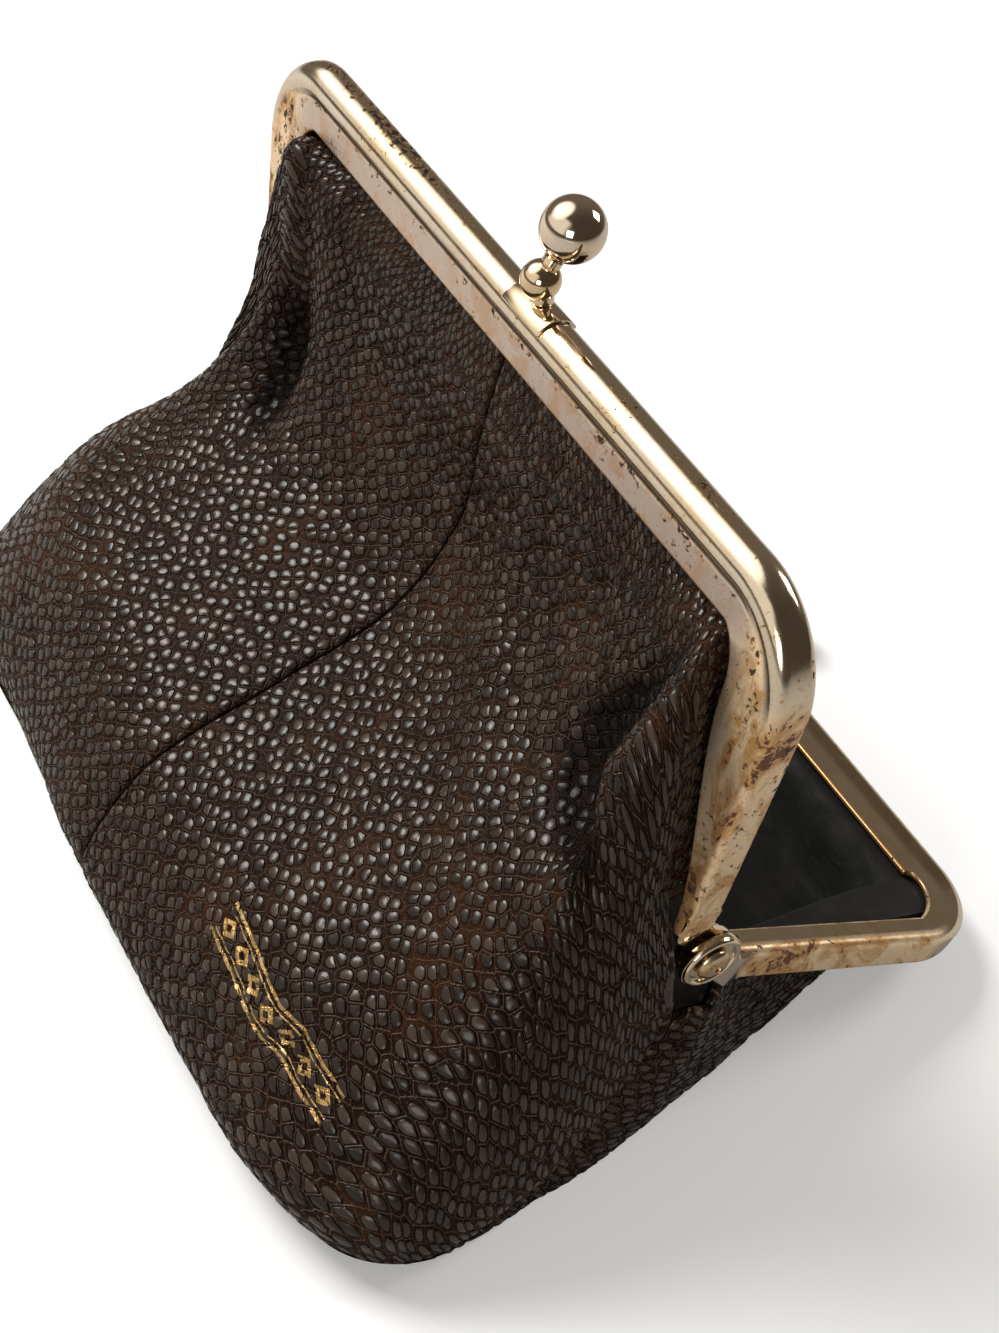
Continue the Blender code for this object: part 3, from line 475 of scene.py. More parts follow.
    @staticmethod
    def drill(name: str, radius: float, length: float, matrix: Matrix) -> bpy.types.Object:
        """A rod on Z that cuts a hole, put in its place."""
        Bench.clear()
        bpy.ops.mesh.primitive_cylinder_add(vertices=48, radius=radius, depth=length)
        piece = Bench.named(name)
        Bench.move(piece, matrix)
        return piece

    @staticmethod
    def wall(name: str, outer: bpy.types.Object, inner: bpy.types.Object) -> None:
        """Join two open skins into one closed wall.

        Args:
            name: the wall's name.
            outer: the skin that becomes the wall.
            inner: the skin behind it.
        """
        Bench.pick(outer)
        inner.select_set(True)
        bpy.ops.object.join()
        outer.name = name
        Bench.edit(outer)
        bpy.ops.mesh.select_all(action="DESELECT")
        bpy.ops.mesh.select_mode(type="EDGE")
        bpy.ops.mesh.select_non_manifold(extend=False, use_wire=False, use_boundary=True,
                                         use_multi_face=False, use_non_contiguous=False,
                                         use_verts=False)
        bpy.ops.mesh.bridge_edge_loops()
        bpy.ops.mesh.select_mode(type="VERT")
        bpy.ops.mesh.select_all(action="SELECT")
        bpy.ops.mesh.normals_make_consistent(inside=False)
        Bench.clear()

    @staticmethod
    def dress(piece: bpy.types.Object, finish: bpy.types.Material, slot: str,
              angle: float = 40.0) -> bpy.types.Object:
        """Shade a piece smooth but for its sharp edges and give it its finish."""
        Bench.pick(piece)
        bpy.ops.object.shade_smooth_by_angle(angle=math.radians(angle))
        piece.data.materials.clear()
        piece.data.materials.append(finish)
        LOG.info("%s: %d faces", piece.name, len(piece.data.polygons))
        return piece


class Wiring:
    """A short way to add shader or geometry nodes and join them."""

    def __init__(self, tree: bpy.types.NodeTree) -> None:
        """Keep the tree that the nodes go into."""
        self.tree = tree

    def add(self, kind: str, values: dict | None = None, **settings: object) -> bpy.types.Node:
        """Add a node, set its options and its inputs, and join the inputs that are sockets.

        Args:
            kind: the node's type name.
            values: input values or sockets by the input's name or number.
            settings: the node's own options.
        Returns:
            The node.
        """
        node = self.tree.nodes.new(kind)
        for key, value in settings.items():
            setattr(node, key, value)
        for key, value in (values or {}).items():
            if isinstance(value, bpy.types.NodeSocket):
                self.tree.links.new(value, node.inputs[key])
            else:
                node.inputs[key].default_value = value
        return node

    def join(self, socket: bpy.types.NodeSocket, node: bpy.types.Node, name: str) -> None:
        """Join a socket to a node's input."""
        self.tree.links.new(socket, node.inputs[name])

    def math(self, operation: str, first: object, second: object = 0.0,
             clamp: bool = False) -> bpy.types.NodeSocket:
        """A sum, product or other working of two values."""
        node = self.add("ShaderNodeMath", {0: first, 1: second}, operation=operation,
                        use_clamp=clamp)
        return node.outputs[0]

    def times(self, *factors: object) -> bpy.types.NodeSocket:
        """The product of several values."""
        made = factors[0]
        for factor in factors[1:]:
            made = self.math("MULTIPLY", made, factor)
        return made

    def plus(self, *terms: object) -> bpy.types.NodeSocket:
        """The sum of several values."""
        made = terms[0]
        for term in terms[1:]:
            made = self.math("ADD", made, term)
        return made

    def ramp(self, value: object, low: float, high: float, start: float = 0.0,
             end: float = 1.0) -> bpy.types.NodeSocket:
        """A soft step of a value between two levels."""
        node = self.add("ShaderNodeMapRange", {0: value, 1: low, 2: high, 3: start, 4: end},
                        interpolation_type="SMOOTHSTEP")
        return node.outputs[0]

    def mix(self, share: object, first: object, second: object) -> bpy.types.NodeSocket:
        """A mix of two values."""
        node = self.add("ShaderNodeMix", {0: share, 2: first, 3: second}, data_type="FLOAT")
        return node.outputs[0]

    def blend(self, share: object, first: object, second: object) -> bpy.types.NodeSocket:
        """A mix of two colours."""
        pair = [(*c, 1.0) if isinstance(c, tuple) else c for c in (first, second)]
        node = self.add("ShaderNodeMix", {0: share, 6: pair[0], 7: pair[1]}, data_type="RGBA")
        return node.outputs[2]

    def noise(self, vector: object, scale: float, detail: float = 3.0, roughness: float = 0.55,
              distortion: float = 0.0) -> bpy.types.NodeSocket:
        """A cloudy value."""
        node = self.add("ShaderNodeTexNoise", {"Vector": vector, "Scale": scale, "Detail": detail,
                                               "Roughness": roughness, "Distortion": distortion})
        return node.outputs[0]

    def scaled(self, vector: object, scale: Shares) -> bpy.types.NodeSocket:
        """A vector scaled by axis."""
        return self.add("ShaderNodeVectorMath", {0: vector, 1: scale},
                        operation="MULTIPLY").outputs[0]

    def turned(self, vector: object, angle: float) -> bpy.types.NodeSocket:
        """A vector turned about Z."""
        return self.add("ShaderNodeVectorRotate", {"Vector": vector, "Angle": angle},
                        rotation_type="Z_AXIS").outputs[0]

    def bump(self, height: object, strength: float, distance: float,
             normal: bpy.types.NodeSocket | None = None) -> bpy.types.NodeSocket:
        """A bump from a height."""
        values = {"Strength": strength, "Distance": distance, "Height": height}
        if normal is not None:
            values["Normal"] = normal
        return self.add("ShaderNodeBump", values).outputs[0]

    def place(self) -> bpy.types.NodeSocket:
        """Object coordinates."""
        return self.add("ShaderNodeTexCoord").outputs["Object"]

    def map(self, layer: str) -> bpy.types.NodeSocket:
        """A UV map of the piece's own."""
        return self.add("ShaderNodeUVMap", uv_map=layer).outputs[0]


def new_material(name: str) -> tuple[bpy.types.Material, Wiring, bpy.types.Node]:
    """Make a Principled material and the wiring for it."""
    made = bpy.data.materials.new(name)
    made.use_nodes = True
    return made, Wiring(made.node_tree), made.node_tree.nodes["Principled BSDF"]


@dataclass(frozen=True)
class WornGold:
    """Pale gold plate on the frame, pitted and stained on the leather side and on the legs, with a
    painted dark reflection along the bar's closing edge and painted shade in the groove.
    """

    hinge: tuple[float, ...]
    mirror: Color = (0.84, 0.72, 0.58)
    warm: Color = (0.86, 0.71, 0.49)
    skirt: Color = (0.68, 0.54, 0.45)
    leg: Color = (1.0, 0.74, 0.47)
    # Painted reflection: the dark brown laid along the closing edge of the bar
    edge: Color = (0.42, 0.30, 0.19)
    stain: Color = (0.62, 0.32, 0.10)
    scab: Color = (0.15, 0.062, 0.034)
    pit: Color = (0.028, 0.016, 0.011)
    # Painted shade for the groove above the skirt
    groove: Color = (0.060, 0.036, 0.021)
    leg_across: tuple[float, float] = (0.0365, 0.0415)
    corner_reach: tuple[float, float] = (0.0365, 0.0330)
    cluster_scale: float = 130.0
    wander_scale: float = 330.0
    streak_scale: float = 460.0
    streak_stretch: Shares = (1.0, 0.5, 0.35)
    blot_scale: float = 1300.0
    speck_scale: float = 5200.0
    pit_depth: float = 0.00006

    def make(self) -> bpy.types.Material:
        """Build the finish, which reads the ring map of the frame pieces, laid out as in RING."""
        made, w, shader = new_material("worn_pale_gold")
        place = w.place()
        ring = w.add("ShaderNodeSeparateXYZ", {0: w.map("Ring")}).outputs[0]
        across = w.add("ShaderNodeSeparateXYZ", {0: place}).outputs[0]
        leg = w.ramp(w.math("ABSOLUTE", across), *self.leg_across)
        on_bar = w.math("SUBTRACT", 1.0, leg)
        away = w.scaled(w.add("ShaderNodeVectorMath", {0: place, 1: self.hinge},
                              operation="SUBTRACT").outputs[0], (0.0, 1.0, 1.0))
        reach = w.add("ShaderNodeVectorMath", {0: away}, operation="LENGTH").outputs["Value"]
        below = w.mix(w.ramp(ring, 0.40, 0.48), w.ramp(reach, *self.corner_reach), leg)
        side = w.times(leg, below, w.ramp(ring, 0.17, 0.21))
        skirt = w.times(w.ramp(ring, 0.505, 0.535), on_bar)
        groove = w.times(w.ramp(ring, 0.440, 0.465), w.ramp(ring, 0.525, 0.490), on_bar)
        cluster = w.noise(place, self.cluster_scale, 2.0)
        wander = w.noise(place, self.wander_scale, 5.0, 0.62, 0.6)
        streaks = w.noise(w.scaled(place, self.streak_stretch), self.streak_scale, 5.0, 0.62, 0.8)
        blots = w.noise(place, self.blot_scale, 5.0, 0.66, 0.4)
        specks = w.noise(place, self.speck_scale, 2.0, 0.6)
        crown = w.times(w.ramp(ring, 0.25, 0.27), w.ramp(ring, 0.335, 0.305), on_bar)
        beside = w.times(w.ramp(ring, 0.49, 0.52), w.ramp(ring, 0.64, 0.55))
        worn = w.plus(w.times(w.math("SUBTRACT", cluster, 0.5), 0.40),
                      w.times(crown, w.ramp(across, -0.004, -0.026, 0.060, 0.175)),
                      w.times(beside, 0.075), w.times(side, 0.01))
        pits = w.ramp(w.plus(blots, worn), 0.665, 0.695)
        rims = w.ramp(w.plus(blots, worn), 0.610, 0.655)
        on_leg = w.times(w.ramp(streaks, 0.44, 0.58), side, 0.9)
        stains = w.times(w.ramp(wander, 0.46, 0.60), w.ramp(ring, 0.30, 0.52, 0.2, 1.0), on_bar,
                         w.ramp(cluster, 0.34, 0.50), 0.45)
        stains = w.math("MAXIMUM", stains, on_leg)
        scabs = w.times(w.ramp(w.plus(streaks, w.times(blots, 0.5)), 0.855, 0.885), side)
        rough_spots = w.math("MAXIMUM", pits, scabs)
        color = w.blend(w.ramp(cluster, 0.35, 0.65), self.mirror, self.warm)
        color = w.blend(skirt, color, self.skirt)
        color = w.blend(side, color, self.leg)
        # Painted reflection: the closing edge of the bar is tinted dark brown, standing for the
        # dark things it mirrors
        rim = w.times(w.ramp(ring, 0.10, 0.16), w.ramp(ring, 0.228, 0.205), on_bar)
        color = w.blend(w.times(rim, 0.8), color, self.edge)
        color = w.blend(w.times(w.ramp(ring, 0.785, 0.81), on_bar, 0.8), color, self.stain)
        color = w.blend(w.math("MAXIMUM", stains, w.times(rims, 0.6)), color, self.stain)
        color = w.blend(scabs, color, self.scab)
        color = w.blend(w.times(w.ramp(specks, 0.66, 0.72), 0.6), color, self.scab)
        # Painted shade: the groove between the rolled edge and the skirt is painted near black
        color = w.blend(w.times(groove, 0.92), color, self.groove)
        color = w.blend(pits, color, self.pit)
        w.join(color, shader, "Base Color")
        rough = w.ramp(w.noise(place, 420.0, 4.0), 0.3, 0.7, 0.09, 0.17)
        rough = w.math("ADD", w.plus(rough, w.times(skirt, 0.16), w.times(side, 0.16),
                                     w.times(stains, 0.10)), w.times(rough_spots, 0.3), clamp=True)
        w.join(rough, shader, "Roughness")
        bare = w.plus(w.times(skirt, 0.25), w.times(side, 0.55), w.times(rough_spots, 0.4))
        w.join(w.math("SUBTRACT", 1.0, bare, clamp=True), shader, "Metallic")
        wave = w.bump(w.noise(place, 200.0, 2.0), 0.5, 0.00004)
        peeled = w.bump(w.noise(place, 1900.0, 3.0, 0.6), 0.35, 0.000022, wave)
        w.join(w.bump(w.times(pits, -1.0), 0.8, self.pit_depth, peeled), shader, "Normal")
        return made


@dataclass(frozen=True)
class PolishedGold:
    """Polished gold of the clasp and the hinge, with grime in its small pits."""

    name: str
    plate: Color
    warm: Color
    grime: float = 0.25
    rough: float = 0.07
    grime_color: Color = (0.09, 0.045, 0.02)
    speck_scale: float = 2400.0
    cloud_scale: float = 300.0
    wear_scale: float = 700.0
    wave_scale: float = 260.0

    def make(self) -> bpy.types.Material:
        """Build the finish."""
        made, w, shader = new_material(self.name)
        place = w.place()
        specks = w.ramp(w.noise(place, self.speck_scale, 4.0, 0.7), 0.64, 0.72)
        color = w.blend(w.ramp(w.noise(place, self.cloud_scale), 0.4, 0.7), self.plate, self.warm)
        color = w.blend(w.times(specks, self.grime), color, self.grime_color)
        w.join(color, shader, "Base Color")
        shader.inputs["Metallic"].default_value = 1.0
        wear = w.noise(place, self.wear_scale, 4.0)
        rough = w.ramp(wear, 0.3, 0.75, self.rough, self.rough * 2.2)
        w.join(w.plus(rough, w.times(specks, 0.3 * self.grime)), shader, "Roughness")
        wave = w.bump(w.noise(place, self.wave_scale, 2.0), 0.25, 0.00003)
        w.join(wave, shader, "Normal")
        return made


@dataclass(frozen=True)
class FoilRule:
    """A gold rule stamped on the leather: two lines with lozenges between them."""

    centre: tuple[float, float]
    length: float = 0.0210
    spacing: float = 0.0034
    line: float = 0.00034
    step: float = 0.0030
    lozenge: float = 0.00090
    gold: Color = (0.56, 0.37, 0.14)
    worn: float = 0.44
    worn_edge: float = 0.06
    worn_scale: float = 1500.0
    thin_step: float = 1.7
    thin_share: float = 0.4
    lozenge_slope: float = 0.75
    lozenge_hole: float = 0.42

    def mask(self, w: Wiring) -> bpy.types.NodeSocket:
        """The places that the foil covers on the flat map, 1 on it and 0 off it."""
        moved = w.add("ShaderNodeVectorMath", {0: w.map("Flat"), 1: (*self.centre, 0.0)},
                      operation="SUBTRACT").outputs[0]
        parts = w.add("ShaderNodeSeparateXYZ", {0: moved})
        across, down = parts.outputs[0], w.math("ABSOLUTE", parts.outputs[1])
        inside = w.math("LESS_THAN", w.math("ABSOLUTE", across), self.length / 2)
        rules = 0.0
        thin = self.spacing / 2 - self.line * self.thin_step
        for reach, width in ((self.spacing / 2, self.line), (thin, self.line * self.thin_share)):
            away = w.math("ABSOLUTE", w.math("SUBTRACT", down, reach))
            rules = w.math("MAXIMUM", rules, w.math("LESS_THAN", away, width / 2))
        zigzag = w.math("PINGPONG", across, self.step / 2)
        reach = w.plus(w.times(zigzag, self.lozenge_slope), down)
        lozenges = w.times(w.math("LESS_THAN", reach, self.lozenge),
                           w.math("GREATER_THAN", reach, self.lozenge * self.lozenge_hole))
        return w.times(w.math("MAXIMUM", rules, lozenges), inside)


@dataclass(frozen=True)
class ScalePattern:
    """The raised scales of the leather, the same for the mesh and for its finish.

    The map called Scales holds one scale to a unit. Each cell has a flat-topped scale, a moat
    round it and a thin ridge where the cells meet. The scales are smaller beside the frame, which
    is at 0 on the map called Flat, and larger on the ridges of the folds, which the second value
    of the map called Fold gives.
    """

    small: Shares = (1.65, 1.10, 1.0)
    large: Shares = (0.44, 1.20, 1.0)
    near: float = 0.0088
    far: float = 0.0108
    turn: float = math.radians(45.0)
    randomness: float = 0.55
    top: float = 0.37
    foot: float = 0.47
    ridge: float = 0.055
    height: float = 0.00015
    ridge_height: float = 0.00006
    wave: float = 0.0006
    wave_scale: float = 190.0
    swell: tuple[float, float] = (0.42, 0.55)

    def layer(self, w: Wiring, pattern: bpy.types.NodeSocket) -> dict[str, bpy.types.NodeSocket]:
        """Scales of one size: sockets named top, dome, ridge, tone and tilt."""
        spot = w.turned(pattern, self.turn)
        values = {"Vector": spot, "Scale": 1.0, "Randomness": self.randomness}
        spots = w.add("ShaderNodeTexVoronoi", values, voronoi_dimensions="2D", feature="F1")
        edges = w.add("ShaderNodeTexVoronoi", values, voronoi_dimensions="2D",
                      feature="DISTANCE_TO_EDGE")
        reach, edge = spots.outputs["Distance"], edges.outputs["Distance"]
        top = w.math("MINIMUM", w.ramp(reach, self.foot, self.top), w.ramp(edge, 0.07, 0.14))
        dome = w.math("MINIMUM", w.ramp(reach, self.foot, 0.0), w.ramp(edge, 0.04, 0.40))
        away = w.add("ShaderNodeVectorMath", {0: spot, 1: spots.outputs["Position"]},
                     operation="SUBTRACT").outputs[0]
        lean = w.add("ShaderNodeVectorMath", {0: spots.outputs["Color"], 1: (0.5, 0.5, 0.5)},
                     operation="SUBTRACT").outputs[0]
        tilt = w.add("ShaderNodeVectorMath", {0: away, 1: lean},
                     operation="DOT_PRODUCT").outputs["Value"]
        return {"top": top, "dome": dome, "ridge": w.ramp(edge, self.ridge, 0.0),
                "tone": w.plus(spots.outputs["Color"], 0.0), "tilt": w.times(tilt, top)}

    def nodes(self, w: Wiring, pattern: bpy.types.NodeSocket, flat: bpy.types.NodeSocket,
              fold: bpy.types.NodeSocket) -> dict[str, bpy.types.NodeSocket]:
        """Add the pattern to a tree of shader or geometry nodes.

        Args:
            w: the wiring of the tree.
            pattern: the socket that holds the Scales map.
            flat: the socket that holds the Flat map.
            fold: the socket that holds the Fold map.
        Returns:
            Sockets named top, dome, ridge, tone and tilt.
        """
        below = w.add("ShaderNodeSeparateXYZ", {0: flat}).outputs[1]
        near = w.ramp(below, self.far, self.near)
        swell = w.ramp(w.add("ShaderNodeSeparateXYZ", {0: fold}).outputs[1], *self.swell)
        made = self.layer(w, pattern)
        for share, size in ((near, self.small), (swell, self.large)):
            other = self.layer(w, w.scaled(pattern, size))
            made = {key: w.mix(share, made[key], other[key]) for key in made}
        return made

    def raise_scales(self, piece: bpy.types.Object) -> None:
        """Lift the scales of a leather skin off its surface."""
        tree = bpy.data.node_groups.new("raise_scales", "GeometryNodeTree")
        for way in ("INPUT", "OUTPUT"):
            tree.interface.new_socket("Geometry", in_out=way, socket_type="NodeSocketGeometry")
        w = Wiring(tree)
        start = w.add("NodeGroupInput")
        spots = [w.add("GeometryNodeInputNamedAttribute", {"Name": layer},
                       data_type="FLOAT_VECTOR").outputs[0] for layer in ("Scales", "Flat", "Fold")]
        relief = w.add("GeometryNodeInputNamedAttribute", {"Name": "relief"},
                       data_type="FLOAT").outputs[0]
        parts = self.nodes(w, *spots)
        height = w.plus(w.times(parts["top"], self.height),
                        w.times(parts["ridge"], self.ridge_height))
        cloud = w.noise(w.add("GeometryNodeInputPosition").outputs[0], self.wave_scale, 2.5)
        height = w.plus(height, w.times(w.math("SUBTRACT", cloud, 0.5), self.wave))
        normal = w.add("GeometryNodeInputNormal").outputs[0]
        offset = w.add("ShaderNodeVectorMath", {0: normal, "Scale": w.times(height, relief)},
                       operation="SCALE").outputs[0]
        moved = w.add("GeometryNodeSetPosition", {"Geometry": start.outputs[0], "Offset": offset})
        w.add("NodeGroupOutput", {0: moved.outputs[0]})
        Bench.modify(piece, "NODES", node_group=tree)


@dataclass(frozen=True)
class ScaleLeather:
    """Dark brown leather embossed with raised scales, glossy on their tops, with painted shade in
    the fold valleys and round the scales' feet, and ridges painted pale partly for their glints.
    """

    name: str
    pattern: ScalePattern
    foil: FoilRule | None = None
    top: Color = (0.0180, 0.0100, 0.0060)
    pale_top: Color = (0.050, 0.033, 0.023)
    moat: Color = (0.0140, 0.0054, 0.0024)
    # Painted shade round the foot of every scale
    scale_foot_shade: Color = (0.0012, 0.0006, 0.0004)
    # The ridges' pale colour is partly their own tone and partly a painted highlight for their
    # glints
    ridge: Color = (0.165, 0.104, 0.070)
    tint: Color = (0.036, 0.0130, 0.0044)
    # Painted shade laid into the fold valleys; sunk below gives the fold lift in millimetres over
    # which it comes in
    shade: Color = (0.0014, 0.0008, 0.0005)
    lean: float = 2.2
    sunk: tuple[float, float] = (-0.35, -1.5)
    bead_scale: float = 3.7
    cloud_scale: float = 95.0
    relief: float = 0.00013

    def make(self) -> bpy.types.Material:
        """Build the finish."""
        made, w, shader = new_material(self.name)
        parts = self.pattern.nodes(w, w.map("Scales"), w.map("Flat"), w.map("Fold"))
        lift = w.add("ShaderNodeSeparateXYZ", {0: w.map("Fold")}).outputs[0]
        sunk = w.ramp(lift, *self.sunk)
        place = w.place()
        beads = w.add("ShaderNodeTexVoronoi",
                      {"Vector": w.map("Scales"), "Scale": self.bead_scale},
                      voronoi_dimensions="2D").outputs["Distance"]
        cloud = w.noise(place, self.cloud_scale, 3.0)
        off_top = w.math("SUBTRACT", 1.0, parts["top"])
        slope = w.times(parts["top"], off_top, 3.9)
        bead = w.times(w.ramp(beads, 0.36, 0.10), off_top)
        tops = w.blend(w.ramp(parts["tone"], 0.30, 0.80), self.top, self.pale_top)
        moat = w.blend(w.ramp(cloud, 0.48, 0.66), self.moat, self.tint)
        color = w.blend(parts["top"], moat, tops)
        # Painted shade: a dark ring where each scale's top falls to the moat
        color = w.blend(w.math("MINIMUM", slope, 0.95), color, self.scale_foot_shade)
        # Ridges painted pale: partly their own paler tone, partly a painted highlight standing for
        # their glints
        color = w.blend(w.times(parts["ridge"], 0.75), color, self.ridge)
        # Painted shade: the leather is darkened down into the valleys of the folds, where their
        # lift on the Fold map is below zero
        color = w.blend(w.times(sunk, 0.85), color, self.shade)
        rough = w.plus(w.ramp(parts["top"], 0.0, 1.0, 0.50, 0.26),
                       w.ramp(w.noise(place, 900.0, 4.0), 0.3, 0.7, -0.05, 0.07))
        if self.foil:
            metal = w.times(self.foil.mask(w),
                            w.ramp(w.noise(place, self.foil.worn_scale),
                                   self.foil.worn - self.foil.worn_edge, self.foil.worn))
            color = w.blend(metal, color, self.foil.gold)
            w.join(metal, shader, "Metallic")
        w.join(color, shader, "Base Color")
        w.join(rough, shader, "Roughness")
        glazed = w.math("MAXIMUM", parts["ridge"], w.times(bead, 0.6))
        glazed = w.math("MAXIMUM", w.times(parts["top"], 0.9), glazed)
        # The coat's gloss is also taken out of the fold valleys, as painted shade
        w.join(w.times(glazed, w.math("SUBTRACT", 1.0, w.times(sunk, 0.8))), shader, "Coat Weight")
        shader.inputs["Coat Roughness"].default_value = 0.27
        shader.inputs["Coat IOR"].default_value = 1.36
        shader.inputs["Specular IOR Level"].default_value = 0.05
        fine = w.bump(w.noise(place, 3200.0, 4.0, 0.6), 0.20, 0.00003)
        beaded = w.bump(bead, 0.8, 0.00010, fine)
        domed = w.plus(w.times(parts["top"], 0.85), w.times(parts["dome"], 0.10),
                       w.times(parts["ridge"], 1.3), w.times(parts["tilt"], self.lean))
        raised = w.bump(domed, 1.0, self.relief, beaded)
        w.join(raised, shader, "Normal")
        w.join(raised, shader, "Coat Normal")
        return made


@dataclass(frozen=True)
class MattLining:
    """Matt charcoal lining cloth with fine creases."""

    dark: Color = (0.0055, 0.0055, 0.0052)
    pale: Color = (0.014, 0.0135, 0.0125)
    weave_scale: Shares = (5200.0, 5200.0, 1.0)
    crease_scale: Shares = (130.0, 300.0, 1.0)

    def make(self) -> bpy.types.Material:
        """Build the finish."""
        made, w, shader = new_material("matt_black_lining")
        place, flat = w.place(), w.map("Flat")
        weave = w.noise(w.scaled(flat, self.weave_scale), 1.0, 2.0)
        crease = w.noise(w.scaled(flat, self.crease_scale), 1.0, 4.0, 0.6, 1.2)
        color = w.blend(w.ramp(w.plus(w.times(w.noise(place, 160.0), 0.7), w.times(weave, 0.3)),
                               0.4, 0.6), self.dark, self.pale)
        w.join(color, shader, "Base Color")
        w.join(w.ramp(crease, 0.3, 0.7, 0.62, 0.80), shader, "Roughness")
        shader.inputs["Sheen Weight"].default_value = 0.05
        shader.inputs["Sheen Roughness"].default_value = 0.5
        shader.inputs["Specular IOR Level"].default_value = 0.25
        folds = w.bump(crease, 0.5, 0.0003)
        w.join(w.bump(weave, 0.25, 0.00003, folds), shader, "Normal")
        return made


@dataclass(frozen=True)
class TwistedPaper:
    """Brown kraft paper of the filler cords."""

    pale: Color = (0.52, 0.41, 0.27)
    dark: Color = (0.27, 0.18, 0.10)
    fibre_scale: Shares = (900.0, 9000.0, 1.0)

    def make(self) -> bpy.types.Material:
        """Build the finish."""
        made, w, shader = new_material("twisted_paper")
        fibre = w.noise(w.scaled(w.map("UVMap"), self.fibre_scale), 1.0, 4.0, 0.65)
        w.join(w.blend(w.ramp(fibre, 0.35, 0.7), self.pale, self.dark), shader, "Base Color")
        w.join(w.ramp(fibre, 0.3, 0.7, 0.75, 0.92), shader, "Roughness")
        w.join(w.bump(fibre, 0.5, 0.00005), shader, "Normal")
        return made


@dataclass
class HalfFrame:
    """One half of the pressed frame: the channel, an eye at each end and its holes."""

    layout: Layout
    half: Half
    finish: bpy.types.Material
    groove_depth: float = 0.0006
    skirt_recess: float = 0.0004
    eye_radius: float = 0.0032
    front_eye_radius: float = 0.0029
    rim_height: float = 0.00035
    rim_width: float = 0.0008
    eye_reach: float = 0.0072
    neck_share: float = 0.55
    inset_share: float = 0.33
    hole_radius: float = 0.00115
    stem_hole: float = 0.0008
    ball_spacing: float = 0.0061
    steps: tuple[int, int, int] = (26, 34, 26)
    strap_bevel: float = 0.00011
    crease_angle: float = 32.0

    def stations(self) -> np.ndarray:
        """Stations round the whole U, from the right hinge to the left one.

        Returns:
            Rows of x, along, the edge's normal and the leg share, 1 on a leg and 0 on the bar.
        """
        s = self.layout.sizes
        legs, corners, bars = self.steps
        lean = Vector((1.0, -s.leg_draw_in / s.leg_top)).normalized()
        rows = [(s.leg_half_width(along), along, lean.x, lean.y, 1.0)
                for along in np.linspace(s.leg_start, s.leg_top, legs, endpoint=False)]
        rows += [(*s.corner(math.pi / 2 * share), 1 - share)
                 for share in np.linspace(0.0, 1.0, corners + 1)]
        bar_end = s.frame_width / 2 - s.corner_across
        rows += [(bar_end * share, s.frame_height, 0.0, 1.0, 0.0)
                 for share in np.linspace(1.0, 0.0, bars + 1)[1:]]
        right = np.array(rows)
        return np.concatenate([right, right[-2::-1] * (-1, 1, -1, 1, 1)])

    def hollow(self, share: np.ndarray, bead: float) -> np.ndarray:
        """How far the outer wall stands back from the bead, down its depth."""
        places = (0.0, 0.08, 0.20, 0.33, 1.0)
        groove, recess = self.groove_depth * bead, self.skirt_recess * bead
        levels = (0.0, groove * 0.25, groove, recess, recess)
        made = np.zeros_like(share)
        for low, high, start, end in zip(places, places[1:], levels, levels[1:]):
            inside = share >= low
            made[inside] = start + (end - start) * smooth_step((share[inside] - low) / (high - low))
        return made

    def section(self, along: float, leg_share: float) -> tuple[np.ndarray, np.ndarray]:
        """The channel's outline, once round its wall.

        Args:
            along: the distance from the hinge.
            leg_share: 1 on a leg and 0 on the bar.
        Returns:
            The outline as (outward, depth) points, and where each lies round the ring: up to 0.2
            on the closing wall, to 0.4 on the rolled edge, to 0.8 down the outer wall, then
            inside.
        """
        s = self.layout.sizes
        bead = smooth_step(1 - leg_share)
        radius = s.leg_edge_radius + (s.tube_radius - s.leg_edge_radius) * bead
        face, back, half_sheet = s.half_gap, s.half_gap + s.channel, s.sheet / 2
        wall = s.bar_inner_depth + (s.leg_inner_depth - s.bar_inner_depth) * leg_share
        lip = max(s.skirt_depth(along), radius + s.sheet) - half_sheet
        quarter = np.linspace(0.0, math.pi / 2, 15)
        down = np.linspace(0.0, 1.0, 34)
        parts = []

        def add(stretch: str, out: np.ndarray, depth: np.ndarray) -> None:
            """Add a stretch of the outline, named as in RING."""
            parts.append(np.stack([out, depth, np.linspace(*RING[stretch], len(out))], axis=-1))

        walk = np.linspace(wall - half_sheet, radius, 8)[:-1]
        add("wall", np.full(len(walk), face), walk)
        add("edge", face + radius * (1 - np.cos(quarter)), radius * (1 - np.sin(quarter)))
        add("shoulder", back - radius * (1 - np.sin(quarter)), radius * (1 - np.cos(quarter)))
        skirt_out = back - self.hollow(down, bead)
        skirt_depth = radius + (lip - radius) * down
        add("skirt", skirt_out[1:], skirt_depth[1:])
        turn = np.linspace(0.0, math.pi, 8)[1:-1]
        add("lip", skirt_out[-1] - half_sheet * (1 - np.cos(turn)), lip + half_sheet * np.sin(turn))
        add("skirt_back", skirt_out[::-3] - s.sheet, skirt_depth[::-3])
        inside, few = radius - s.sheet, np.linspace(0.0, math.pi / 2, 6)[1:]
        add("shoulder_back", back - radius + inside * np.cos(few),
            s.sheet + inside * (1 - np.sin(few)))
        add("edge_back", face + radius - inside * np.sin(few), s.sheet + inside * (1 - np.cos(few)))
        walk = np.linspace(radius, wall - half_sheet, 5)[1:]
        add("wall_back", np.full(len(walk), face + s.sheet), walk)
        add("hem", face + half_sheet * (1 + np.cos(turn)),
            wall - half_sheet + half_sheet * np.sin(turn))
        whole = np.concatenate(parts)
        return whole[:, :2], whole[:, 2]

